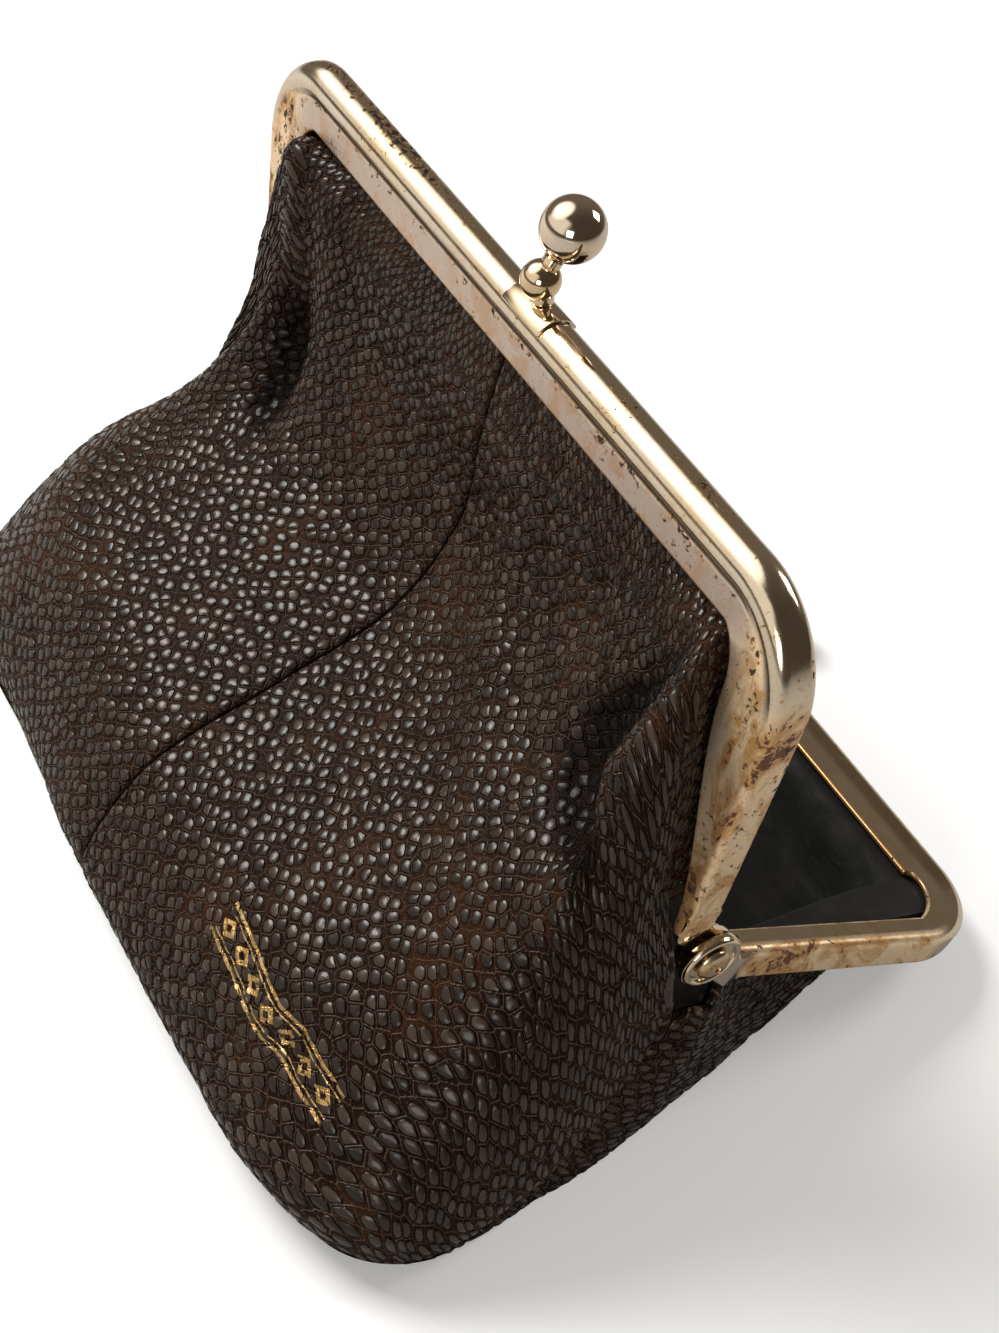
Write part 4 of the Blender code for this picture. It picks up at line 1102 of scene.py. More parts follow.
    def channel(self) -> bpy.types.Object:
        """Sweep the section from hinge to hinge round the U."""
        rings = []
        stations = self.stations()
        for x, along, normal_x, normal_along, leg_share in stations:
            outline, ring = self.section(along, leg_share)
            out, depth = outline.T
            rings.append(self.layout.points(self.half, x - normal_x * depth, out,
                                            along - normal_along * depth))
        outline = self.section(self.layout.sizes.frame_height, 0.0)[0]
        outline = np.concatenate([outline, outline[:1]])
        round_way = np.concatenate([[0.0], np.cumsum(np.linalg.norm(np.diff(outline, axis=0),
                                                                    axis=1))])
        sweep = np.concatenate([[0.0], np.cumsum(np.linalg.norm(
            np.diff(stations[:, :2], axis=0), axis=1))])
        maps = {"UVMap": (round_way, sweep), "Ring": (np.append(ring, 1.0), sweep)}
        return Bench.loft(f"{self.half.value}_channel_frame", np.array(rings), maps)

    def strap(self, side: Side, radius: float, outer_face: float) -> bpy.types.Object:
        """The flat eye at the end of a leg, with the strap that joins it to the channel's side."""
        s = self.layout.sizes
        leg_face = s.leg_half_width(self.eye_reach) - s.strap_sink
        low = s.half_gap + s.sheet * self.inset_share
        high = s.half_gap + s.channel - s.sheet * self.inset_share
        spans = []
        for turn in np.linspace(0.0, math.pi, 37)[1:-1]:
            if -math.cos(turn) < self.neck_share:
                half = radius * math.sin(turn)
                spans.append((-radius * math.cos(turn), -half, half, 0.0))
        neck = spans[-1]
        for share in np.linspace(0.0, 1.0, 17)[1:]:
            ramp, crank = smooth_step(share * 2), smooth_step(share * 2 - 1)
            spans.append((neck[0] + (self.eye_reach - neck[0]) * share,
                          neck[1] + (low - neck[1]) * ramp, neck[2] + (high - neck[2]) * ramp,
                          crank))
        rings = []
        for along, near, far, crank in spans:
            face = outer_face + (leg_face - outer_face) * crank
            across = side.value * np.array([face, face, face - s.eye_sheet, face - s.eye_sheet])
            rings.append(self.layout.points(self.half, across, np.array([near, far, far, near]),
                                            along))
        piece = Bench.loft(f"{self.half.value}_{side.word}_strap", np.array(rings))
        Bench.bevel(piece, self.strap_bevel)
        return piece

    def rim(self, side: Side) -> bpy.types.Object:
        """The raised rim round the rear eye."""
        outer = self.eye_radius - self.rim_height * 0.25
        inner = self.eye_radius - self.rim_width
        sheet = self.layout.sizes.eye_sheet
        outline = [(inner, -sheet / 2), (outer, -sheet / 2)]
        outline += [((outer + inner) / 2 + (outer - inner) / 2 * math.cos(turn),
                     self.rim_height * math.sin(turn)) for turn in np.linspace(0, math.pi, 9)]
        piece = Bench.turned(f"{side.word}_eye_rim", outline)
        Bench.move(piece, self.layout.on_hinge(side, self.layout.sizes.rear_eye_face))
        return piece

    def build(self) -> bpy.types.Object:
        """Join the channel, its eyes and their rims, and drill the holes."""
        s = self.layout.sizes
        frame = self.channel()
        rear = self.half is Half.REAR
        for side in Side:
            face = s.rear_eye_face if rear else s.hinge_side - s.strap_sink
            radius = self.eye_radius if rear else self.front_eye_radius
            Bench.combine(frame, self.strap(side, radius, face), "UNION")
            if rear:
                Bench.combine(frame, self.rim(side), "UNION")
        hinge = self.layout.on_hinge(Side.RIGHT, 0.0)
        Bench.combine(frame, Bench.drill("rivet_drill", self.hole_radius, 0.2, hinge), "DIFFERENCE")
        x = self.half.clasp_side * self.ball_spacing / 2
        stand, _ = self.layout.stand(self.half, (x, s.bar_centre, s.frame_height),
                                     (x, s.bar_centre, s.frame_height + 1.0))
        Bench.combine(frame, Bench.drill("stem_drill", self.stem_hole, s.channel, stand),
                      "DIFFERENCE")
        Bench.dress(frame, self.finish, "frame_metal", self.crease_angle)
        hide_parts(f"{self.half.value}_frame")
        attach(frame, self.half.body)
        return frame


@dataclass
class Clasp:
    """One half's clasp: the large ball, its post with the collar ball, and the bed plate."""

    layout: Layout
    half: Half
    ball_finish: bpy.types.Material
    # The post's and saddle's finish: a warmer copy of the gold, its extra warmth a painted
    # reflection
    foot_finish: bpy.types.Material
    ball_radius: float = 0.0029
    ball_spacing: float = 0.0061
    ball_rise: float = 0.0070
    ball_out: float = 0.0004
    collar_radius: float = 0.0018
    collar_rise: float = 0.0025
    collar_lean: float = 0.00045
    neck_radius: float = 0.0009
    stem_radius: float = 0.00055
    spigot_radius: float = 0.0006
    spigot_length: float = 0.0013
    tail_radius: float = 0.00095
    tail_depth: float = 0.00125
    tail_thickness: float = 0.0003
    saddle_length: float = 0.0060
    saddle_thickness: float = 0.00024
    saddle_gap: float = 0.00005
    saddle_wrap: float = math.radians(62.0)
    saddle_bevel: float = 0.00009
    foot_share: float = 0.62
    waist_share: float = 0.50
    foot_rise: float = 0.0002
    foot_bevel: float = 0.00008
    tail_bevel: float = 0.00006

    @property
    def across(self) -> float:
        """Where the clasp stands along the bar."""
        return self.half.clasp_side * self.ball_spacing / 2

    def lean(self) -> tuple[Matrix, float]:
        """The matrix and length of the line from the collar ball to the large one."""
        s = self.layout.sizes
        foot = (self.across, s.bar_centre + self.collar_lean, s.frame_height + self.collar_rise)
        head = (self.across, self.ball_out, s.frame_height + self.ball_rise)
        return self.layout.stand(self.half, foot, head)

    def upright(self) -> Matrix:
        """The matrix that stands a piece square on the bar."""
        s = self.layout.sizes
        return self.layout.stand(self.half, (self.across, s.bar_centre, s.frame_height),
                                 (self.across, s.bar_centre, s.frame_height + 1.0))[0]

    @staticmethod
    def globe(radius: float, centre: float, low: float, high: float, steps: int) -> Outline:
        """Points of a sphere's outline between two angles from its lowest point."""
        return [(radius * math.sin(angle), centre - radius * math.cos(angle))
                for angle in np.linspace(low, high, steps)]

    def ball(self) -> bpy.types.Object:
        """The large ball, bored for the post's spigot."""
        matrix, gap = self.lean()
        bore = self.spigot_radius + self.layout.sizes.fit_gap
        outline = self.globe(self.ball_radius, gap, math.asin(bore / self.ball_radius), math.pi, 48)
        bottom = outline[0][1] + self.spigot_length + self.layout.sizes.fit_gap
        piece = Bench.turned(f"{self.half.value}_snap_ball", [(0, bottom), (bore, bottom)]
                             + outline[:-1] + [(0, outline[-1][1])], 72)
        Bench.move(piece, matrix)
        return piece

    def post(self) -> bpy.types.Object:
        """The post: a tail upset in the channel, a flared foot, the collar ball and a spigot."""
        gap_fit = self.layout.sizes.fit_gap
        low = -(self.tail_depth + self.tail_thickness)
        shoulder = self.saddle_thickness + self.saddle_gap * 2
        foot = self.collar_radius * self.foot_share
        waist = self.collar_radius * self.waist_share
        outline = [(0, low), (self.tail_radius * 0.9, low),
                   (self.tail_radius, low + self.tail_bevel),
                   (self.tail_radius, low + self.tail_thickness),
                   (self.stem_radius, low + self.tail_thickness), (self.stem_radius, shoulder),
                   (foot * 0.94, shoulder), (foot, shoulder + self.foot_bevel),
                   (foot, shoulder + self.foot_rise)]
        flare = self.collar_rise - shoulder - self.foot_rise
        outline += [(waist + (foot - waist) * (1 - share) ** 2,
                     shoulder + self.foot_rise + flare * share)
                    for share in (0.2, 0.4, 0.7, 1.0)]
        piece = Bench.turned(f"{self.half.value}_snap_post", outline + [(0, self.collar_rise)], 48)
        Bench.move(piece, self.upright())
        matrix, gap = self.lean()
        neck = math.pi - math.asin(self.neck_radius / self.collar_radius)
        seat = gap - math.sqrt(self.ball_radius**2 - (self.neck_radius * 1.2) ** 2) - gap_fit
        outline = self.globe(self.collar_radius, 0, 0, neck, 36)
        outline[0] = (0, outline[0][1])
        top = max(seat, outline[-1][1] + gap_fit / 2)
        outline += [(self.neck_radius, top), (self.spigot_radius, top),
                    (self.spigot_radius, seat + self.spigot_length),
                    (0, seat + self.spigot_length)]
        collar = Bench.turned("collar", outline, 56)
        Bench.move(collar, matrix)
        Bench.combine(piece, collar, "UNION")
        return piece

    def saddle(self) -> bpy.types.Object:
        """The thin bed plate that wraps over the bar under the post."""
        s = self.layout.sizes
        inner = s.tube_radius + self.saddle_gap
        radius = np.array([inner, inner + self.saddle_thickness, inner + self.saddle_thickness,
                           inner])
        across = self.across + np.array([-1, -1, 1, 1]) * self.saddle_length / 2
        rings = [self.layout.points(self.half, across, s.bar_centre + radius * math.sin(turn),
                                    s.frame_height - s.tube_radius + radius * math.cos(turn))
                 for turn in np.linspace(-self.saddle_wrap, self.saddle_wrap, 29)]
        piece = Bench.loft(f"{self.half.value}_snap_saddle", np.array(rings))
        Bench.bevel(piece, self.saddle_bevel)
        drill = Bench.drill("saddle_drill", self.stem_radius + s.fit_gap, s.channel, self.upright())
        Bench.combine(piece, drill, "DIFFERENCE")
        return piece

    def build(self) -> None:
        """Make and dress the three pieces."""
        for piece, node, finish in ((self.ball(), "ball", self.ball_finish),
                                    (self.post(), "post", self.foot_finish),
                                    (self.saddle(), "saddle", self.foot_finish)):
            Bench.dress(piece, finish, "clasp_metal", 40.0)
            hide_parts(f"{self.half.value}_clasp_{node}")
            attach(piece, self.half.body)


@dataclass
class HingePin:
    """One end's rivet and washer."""

    layout: Layout
    side: Side
    finish: bpy.types.Material
    radius: float = 0.0009
    head_radius: float = 0.00175
    head_height: float = 0.0007
    tail_height: float = 0.0003
    slot_width: float = 0.00055
    slot_depth: float = 0.0004
    slot_turn: float = math.radians(40.0)
    washer_radius: float = 0.0026
    washer_thickness: float = 0.0005
    washer_bevel: float = 0.00012
    foot_share: float = 0.5
    shoulder_share: float = 0.8
    dome_power: float = 0.8

    @property
    def washer_face(self) -> float:
        """How far from the middle the washer's inner face lies."""
        s = self.layout.sizes
        return s.hinge_side - s.strap_sink - s.eye_sheet - s.fit_gap - self.washer_thickness

    def rivet(self) -> bpy.types.Object:
        """The rivet: an upset tail inside, a plain shank and a dented dome outside."""
        s = self.layout.sizes
        tail = self.washer_face - s.fit_gap
        shank = s.rear_eye_face + s.fit_gap - tail
        foot = self.head_radius * self.foot_share
        shoulder = self.head_radius * self.shoulder_share
        outline = [(0, -self.tail_height), (foot, -self.tail_height)]
        outline += [(foot + (shoulder - foot) * math.sin(turn), -self.tail_height * math.cos(turn))
                    for turn in np.linspace(0.2, math.pi / 2, 6)]
        outline += [(self.radius, 0), (self.radius, shank), (self.head_radius * 0.97, shank)]
        outline += [(self.head_radius * math.cos(turn) ** self.dome_power,
                     shank + self.head_height * math.sin(turn))
                    for turn in np.linspace(0.08, math.pi / 2, 20)[:-1]]
        piece = Bench.turned(f"{self.side.word}_pin", outline + [(0, shank + self.head_height)], 56)
        Bench.clear()
        bpy.ops.mesh.primitive_cube_add(size=1.0)
        slot = Bench.named("pin_slot")
        slot.scale = (self.head_radius * 1.3, self.slot_width, self.slot_depth * 2)
        slot.rotation_euler = (0.0, 0.0, self.slot_turn)
        slot.location = (0.0, 0.0, shank + self.head_height)
        Bench.pick(slot)
        bpy.ops.object.transform_apply(location=True, rotation=True, scale=True)
        Bench.bevel(slot, self.slot_width * 0.35, 3)
        Bench.combine(piece, slot, "DIFFERENCE")
        Bench.move(piece, self.layout.on_hinge(self.side, tail))
        return piece

    def washer(self) -> bpy.types.Object:
        """The plain washer between the rivet's tail and the front eye."""
        hole = self.radius + self.layout.sizes.fit_gap
        outline = [(hole, 0), (self.washer_radius, 0), (self.washer_radius, self.washer_thickness),
                   (hole, self.washer_thickness)]
        piece = Bench.turned(f"{self.side.word}_pin_washer", outline, 64)
        Bench.bevel(piece, self.washer_bevel)
        Bench.move(piece, self.layout.on_hinge(self.side, self.washer_face))
        return piece

    def build(self) -> None:
        """Make and dress both pieces."""
        for piece, node in ((self.rivet(), "rivet"), (self.washer(), "washer")):
            Bench.dress(piece, self.finish, "hinge_metal", 40.0)
            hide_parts(f"{self.side.word}_hinge_{node}")
            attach(piece, Half.REAR.body)


@dataclass
class FillerCord:
    """The twisted paper cord that fills the channel behind the leather."""

    frame: HalfFrame
    finish: bpy.types.Material
    radius: float = 0.0007
    depth: float = 0.0025
    end: float = 0.0300
    strands: int = 3
    lay: float = 0.0042

    def build(self) -> None:
        """Wind three strands round the cord's path."""
        layout = self.frame.layout
        path = self.frame.stations()
        path = path[path[:, 1] >= self.end]
        spot = np.concatenate([[0.0], np.cumsum(np.linalg.norm(np.diff(path[:, :2], axis=0),
                                                               axis=1))])
        places = np.linspace(0.0, spot[-1], 420)
        fine = np.stack([np.interp(places, spot, path[:, k]) for k in range(4)], axis=-1)
        turn = np.linspace(0.0, math.tau, 24, endpoint=False)
        rings = []
        for (x, along, normal_x, normal_along), place in zip(fine, places):
            wave = np.abs(np.cos((turn - math.tau * place / self.lay) * self.strands / 2))
            reach = self.radius * (0.80 + 0.20 * np.sqrt(wave))
            depth = self.depth + reach * np.cos(turn)
            rings.append(layout.points(self.frame.half, x - normal_x * depth,
                                       layout.sizes.bar_centre + reach * np.sin(turn),
                                       along - normal_along * depth))
        round_way = np.linspace(0.0, math.tau * self.radius, 25)
        name = self.frame.half.value
        piece = Bench.loft(f"{name}_paper_cord", np.array(rings), {"UVMap": (round_way, places)})
        Bench.dress(piece, self.finish, "filler_cord", 60.0)
        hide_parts(f"{name}_filler_cord")
        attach(piece, self.frame.half.body)


@dataclass(frozen=True)
class Crease:
    """A ridge or a valley along a line on a panel.

    The line's places are (station, row) on the net; height is positive for a ridge. The scales
    are larger where the leather is stretched over a ridge.
    """

    line: tuple[tuple[float, float], ...]
    height: float
    width: float
    stretched: bool = False


RIGHT_CREASES = (
    Crease(((2.80, 1.60), (2.35, 2.60), (1.80, 3.30), (1.81, 3.66), (2.30, 3.95), (3.00, 4.08),
            (3.70, 4.16)), -0.0028, 0.0032),
    Crease(((3.13, 1.70), (3.35, 2.38), (3.46, 2.82), (3.66, 3.32), (4.20, 3.61)), 0.0012, 0.0024,
           True),
    Crease(((0.30, 1.90), (0.45, 2.60), (0.50, 3.23), (0.84, 3.81), (1.34, 4.33), (1.80, 4.70)),
           0.0012, 0.0034),
    Crease(((3.60, 1.70), (4.51, 1.95), (5.30, 2.30), (5.20, 2.95), (4.88, 3.96), (3.90, 4.49)),
           -0.0006, 0.0020),
    Crease(((2.60, 4.70), (3.30, 4.90), (4.10, 5.10)), -0.0005, 0.0016),
    Crease(((0.95, 1.80), (1.15, 2.50), (1.30, 3.10)), -0.0006, 0.0026),
)
LEFT_CREASES = (
    Crease(((2.30, 2.90), (2.05, 3.55), (1.80, 3.90), (1.66, 4.16), (1.30, 4.35)), -0.0026, 0.0026),
    Crease(((2.80, 1.80), (2.72, 2.20), (2.45, 3.09), (2.35, 3.75)), 0.0010, 0.0022, True),
    Crease(((2.05, 1.70), (1.97, 1.99), (1.50, 2.87), (1.10, 3.50)), 0.0008, 0.0028),
    Crease(((2.60, 4.60), (2.20, 5.00), (1.90, 5.60)), -0.0004, 0.0022),
)


@dataclass
class PanelSurface:
    """A quarter of the bag: its surface on the right-hand side, sampled finely from the net."""

    layout: Layout
    half: Half
    rows: Net
    spread: float
    fineness: float
    creases: tuple[Crease, ...] = ()
    points: np.ndarray = field(init=False)
    normals: np.ndarray = field(init=False)
    lift: np.ndarray = field(init=False)
    swell: np.ndarray = field(init=False)
    down: np.ndarray = field(init=False)
    across: np.ndarray = field(init=False)

    def __post_init__(self) -> None:
        """Sample the surface with even steps and work out its normals."""
        net = self.net()
        last = net.shape[0] - 1
        trial = self.sample(net, np.linspace(0, last, 240), np.linspace(0, 6, 180))
        self.down = self.even(trial, 0, last)
        self.across = self.even(trial, 1, 6)
        points = self.sample(net, self.down, self.across)
        self.normals = self.find_normals(points)
        self.points = self.folded(net, points)

    def edge_place(self, station: int) -> tuple[float, float, float, float]:
        """The frame's outer edge at a station: x, along and its normal."""
        s = self.layout.sizes
        if station < len(BAR_STATIONS):
            return ((s.frame_width / 2 - s.corner_across) * BAR_STATIONS[station], s.frame_height,
                    0.0, 1.0)
        if station == len(BAR_STATIONS):
            return s.corner(math.pi / 2 * (1 - CORNER_STATION))
        along = s.frame_height * LEG_STATIONS[station - len(BAR_STATIONS) - 1]
        return s.leg_half_width(along), along, 1.0, 0.0

    def net(self) -> np.ndarray:
        """The control net, row by row: the edge in the channel, the rows and the seam."""
        s = self.layout.sizes
        hinge = np.array(self.layout.hinge)
        columns = []
        for station, (rows, seam) in enumerate(zip(self.rows, SEAM_ROW)):
            x, along, normal_x, normal_along = self.edge_place(station)
            skirt = s.skirt_depth(along)
            column = [self.layout.points(self.half, x - normal_x * depth, s.leather_offset,
                                         along - normal_along * depth)
                      for depth in (skirt * s.tuck_share, skirt + s.mouth_clearance)]
            for (px, py, pz), share in zip((*rows, seam), (*ROW_FRAME_SHARES[:len(rows)], 0.0)):
                width = s.bag_width + (s.frame_width - s.bag_width) * share
                height = s.frame_height if pz > 0 else hinge[2]
                column.append(hinge + (px * width / 2, py * s.bag_reach, pz * height))
            column[-1] = column[-1] + (0.0, 0.0, self.spread)
            columns.append(column)
        return np.array(columns).transpose(1, 0, 2)

    def sample(self, net: np.ndarray, down: np.ndarray, across: np.ndarray) -> np.ndarray:
        """Sample the net at places down and across, straight in the channel and never below 0."""
        rows = smooth_line(net, down, 2 * net[0] - net[1])
        straight = down < 1
        share = down[straight, None, None]
        rows[straight] = net[0] * (1 - share) + net[1] * share
        rows = rows.transpose(1, 0, 2)
        points = smooth_line(rows, across, rows[1] * (-1, 1, 1)).transpose(1, 0, 2)
        points[..., 2] = np.maximum(points[..., 2], 0.0)
        return points

    def even(self, trial: np.ndarray, axis: int, last: int) -> np.ndarray:
        """Places that step evenly along the surface, in a multiple of four steps."""
        steps = np.linalg.norm(np.diff(trial, axis=axis), axis=2).mean(axis=1 - axis)
        way = np.concatenate([[0.0], np.cumsum(steps)])
        count = 4 * math.ceil(way[-1] / self.fineness / 4)
        return np.interp(np.linspace(0, way[-1], count + 1), way, np.linspace(0, last, len(way)))

    def find_normals(self, points: np.ndarray) -> np.ndarray:
        """Unit normals that point out of the bag."""
        outward = 1 if self.half is Half.FRONT else -1
        normals = unit(np.cross(np.gradient(points, axis=0), np.gradient(points, axis=1)) * outward)
        normals[:, 0, 0] = 0.0
        return unit(softened(normals, 6))

    def folded(self, net: np.ndarray, points: np.ndarray) -> np.ndarray:
        """Add the creases to the surface, and keep each place's lift and stretch."""
        self.lift, self.swell = np.zeros((2, *points.shape[:2]))
        for crease in self.creases:
            station, row = np.array(crease.line).T
            ticks = np.linspace(0, len(station) - 1, 12 * len(station))
            count = np.arange(len(station))
            path = [self.sample(net, np.array([r]), np.array([c]))[0, 0]
                    for r, c in zip(np.interp(ticks, count, row), np.interp(ticks, count, station))]
            ends = np.sin(np.linspace(0.0, math.pi, len(path)))
            best = np.zeros(points.shape[:2])
            for spot, fade in zip(path, ends):
                away = np.linalg.norm(points - spot, axis=2) / crease.width
                best = np.maximum(best, np.exp(-away**2) * fade)
            self.lift += best * crease.height
            if crease.stretched:
                self.swell = np.maximum(self.swell, best)
        made = points + self.normals * self.lift[..., None]
        made[..., 2] = np.maximum(made[..., 2], 0.0)
        return made

    def offset_normals(self) -> np.ndarray:
        """Smoother normals, level along the seam, for the skins inside the bag."""
        normals = softened(self.normals, 50)
        aside = np.gradient(self.points[-1], axis=0)
        level = unit(np.stack([aside[:, 1], -aside[:, 0], np.zeros(len(aside))], axis=-1))
        way = self.lengths(0)
        share = smooth_step(1 - (way[-1] - way) / 0.005)[..., None]
        return unit(normals * (1 - share) + level * share)

    def moved_in(self, distance: float) -> np.ndarray:
        """The surface moved into the bag, and kept as far above the floor."""
        made = self.points - self.offset_normals() * distance
        made[..., 2] = np.maximum(made[..., 2], distance)
        return made

    def lengths(self, axis: int) -> np.ndarray:
        """Distances over the surface from its first row or column."""
        steps = np.linalg.norm(np.diff(self.points, axis=axis), axis=2)
        start = np.zeros_like(steps[:1] if axis == 0 else steps[:, :1])
        return np.concatenate([start, np.cumsum(steps, axis=axis)], axis=axis)


def attach_cloth(piece: bpy.types.Object, surface: PanelSurface, inside: float = 0.0) -> None:
    """Let a soft piece ride on the rear half, or leave it where it is built with its place baked
    into its mesh.

    Args:
        piece: the leather or lining piece.
        surface: the surface it follows; those of the front half are left in place.
        inside: how far the piece lies inside the leather's outer face; not used.
    """
    if surface.half is Half.REAR:
        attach(piece, Half.REAR.body)
        return
    _, y, z = surface.layout.hinge
    z -= inside / 2
    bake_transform(piece)


@dataclass
class LeatherPanel:
    """One leather panel of the bag, with its turned edge beside the hinge."""

    surface: PanelSurface
    side: Side
    pattern: ScalePattern
    finish: bpy.types.Material
    pitch: float = 0.0015
    row_share: float = 0.92
    seam_gap: float = 0.0003
    roll: float = 0.0009
    side_sink: float = 0.00032
    foot_roll: float = 0.0016
    foot_sink: float = 0.00055
    pucker: float = 0.35
    pucker_waves: tuple[float, float] = (0.0021, 0.0057)
    edge_radius: float = 0.00085
    rear_edge_share: float = 0.6
    edge_stretch: float = 1.15

    @property
    def name(self) -> str:
        """The start of the piece's name."""
        return f"{self.surface.half.value}_{self.side.word}"

    def sided(self, points: np.ndarray) -> np.ndarray:
        """Points put on the panel's own side of the middle, clear of the centre seam."""
        made = points.copy()
        made[..., 0] = self.side.value * np.maximum(made[..., 0], self.seam_gap / 2)
        return made

    def rolled(self) -> np.ndarray:
        """The outer surface, rolled in along its seams."""
        s = self.surface
        beside, below = s.lengths(1), s.lengths(0)
        to_seam = below[-1] - below
        short, long = self.pucker_waves
        pucker = 1 + self.pucker * np.sin(beside / short) * np.sin(beside / long + 1.0)
        sink = self.side_sink * np.clip(1 - beside / self.roll, 0, 1) ** 2
        sink = sink + self.foot_sink * pucker * np.clip(1 - to_seam / self.foot_roll, 0, 1) ** 2
        made = s.points - s.normals * sink[..., None]
        made[..., 2] = np.maximum(made[..., 2], 0.0)
        return made

    def maps(self) -> Maps:
        """The flat map in metres, the folds' lift in millimetres and the map of the scales."""
        s = self.surface
        beside, below = s.lengths(1), s.lengths(0)
        even = beside[(s.down > 3) & (s.down < 6)].mean(axis=0)
        phase = 37.0 * (self.side.value + (3 if s.half is Half.FRONT else 9))
        return {"Flat": (beside, below), "Fold": (s.lift * 1000, s.swell),
                "Scales": (np.broadcast_to(even / self.pitch + phase, below.shape),
                           below / (self.pitch * self.row_share) + phase)}

    def skin(self) -> bpy.types.Object:
        """The outer skin with its raised scales."""
        s = self.surface
        piece = Bench.grid(f"{self.name}_leather", self.sided(self.rolled()), self.maps())
        clear = smooth_step((s.down - 0.9) / 0.4)[:, None]
        to_seam = s.lengths(0)[-1] - s.lengths(0)
        to_edge = s.lengths(1)[:, -1:] - s.lengths(1)
        relief = clear * smooth_step(to_seam / 0.0008) * smooth_step(s.lengths(1) / 0.0006)
        relief = relief * smooth_step(to_edge / 0.0008)
        layer = piece.data.attributes.new("relief", "FLOAT", "POINT")
        layer.data.foreach_set("value", relief.astype(np.float32).ravel())
        self.face_out(piece)
        self.pattern.raise_scales(piece)
        spots = np.zeros(len(piece.data.vertices) * 3, np.float32)
        piece.data.vertices.foreach_get("co", spots)
        spots[2::3] = np.maximum(spots[2::3], 0.0)
        Bench.lay(piece, spots)
        return piece

    def face_out(self, piece: bpy.types.Object) -> None:
        """Turn the skin's faces out of the bag."""
        s = self.surface
        middle = len(s.down) // 2, len(s.across) // 2
        outward = Vector(s.normals[middle]) * Vector((self.side.value, 1, 1))
        vertex = piece.data.vertices[middle[0] * len(s.across) + middle[1]]
        if vertex.normal.dot(outward) < 0:
            Bench.edit(piece)
            bpy.ops.mesh.flip_normals()
            Bench.clear()

    def turned_edge(self) -> bpy.types.Object:
        """The rounded edge where the leather is turned in beside the hinge."""
        s = self.surface
        keep = s.down > 1.15
        path = s.points[keep, -1]
        normal = s.normals[keep, -1]
        aside = unit(s.points[keep, -1] - s.points[keep, -4])
        turn = np.linspace(0.0, math.tau, 20, endpoint=False)
        radius = self.edge_radius * (1.0 if s.half is Half.FRONT else self.rear_edge_share)
        rings = []
        for spot, out, beside in zip(path[::2], normal[::2], aside[::2]):
            reach = (out * np.cos(turn)[:, None] * radius
                     + beside * np.sin(turn)[:, None] * radius * self.edge_stretch)
            rings.append(spot - out * s.layout.sizes.leather * 0.5 + reach)
        way = np.arange(len(rings)) * s.fineness * 2
        round_way = np.linspace(0.0, 0.004, 21)
        maps = {"Flat": (round_way, way), "Scales": (round_way / 0.02, way / 0.02)}
        points = np.array(rings)
        points[..., 0] *= self.side.value
        points[..., 2] = np.maximum(points[..., 2], 0.0)
        return Bench.loft(f"{self.name}_turned_edge", points, maps)

    def build(self) -> None:
        """Make and dress the panel and its turned edge."""
        skin = self.skin()
        inner = self.surface.moved_in(self.surface.layout.sizes.leather)[::4, ::4]
        Bench.wall(skin.name, skin, Bench.grid("inner_skin", self.sided(inner)))
        Bench.dress(skin, self.finish, "leather", 75.0)
        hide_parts(f"{self.surface.half.value}_panel_{self.side.word}")
        edge = Bench.dress(self.turned_edge(), self.finish, "leather", 60.0)
        for piece in (skin, edge):
            attach_cloth(piece, self.surface)


@dataclass
class Lining:
    """One side of the lining, inside the leather of both panels."""

    right: PanelSurface
    left: PanelSurface
    finish: bpy.types.Material
    short: float = 1.0

    def sheet(self, distance: float) -> np.ndarray:
        """The lining's surface from the left hinge to the right one, at a distance inside."""
        right, left = (s.moved_in(distance)[s.down <= s.down[-1] - self.short]
                       for s in (self.right, self.left))
        if left.shape != right.shape:
            left = self.matched(left, right.shape)
        right[:, 0, 0] = 0.0
        return np.concatenate([left[:, :0:-1] * (-1, 1, 1), right], axis=1)

    @staticmethod
    def matched(points: np.ndarray, shape: tuple[int, ...]) -> np.ndarray:
        """A grid of points resampled to the rows and columns of another."""
        for axis in (0, 1):
            old = np.linspace(0, 1, points.shape[axis])
            new = np.linspace(0, 1, shape[axis])
            points = np.apply_along_axis(lambda line: np.interp(new, old, line), axis, points)
        return points

    def build(self) -> None:
        """Close the two faces of the lining and dress it."""
        sizes = self.right.layout.sizes
        near = sizes.leather + sizes.lining_gap
        outer, inner = (self.sheet(d)[::2, ::2] for d in (near, near + sizes.lining))
        down, across = self.right.lengths(0).max(), self.right.lengths(1).max()
        maps = {"Flat": (np.linspace(-across, across, outer.shape[1]),
                         np.linspace(0, down, outer.shape[0]))}
        name = self.right.half.value
        piece = Bench.grid(f"{name}_cloth_lining", outer, maps)
        Bench.wall(piece.name, piece, Bench.grid("lining_back", inner, maps))
        Bench.dress(piece, self.finish, "lining", 60.0)
        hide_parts(f"{name}_lining")
        attach_cloth(piece, self.right, near)


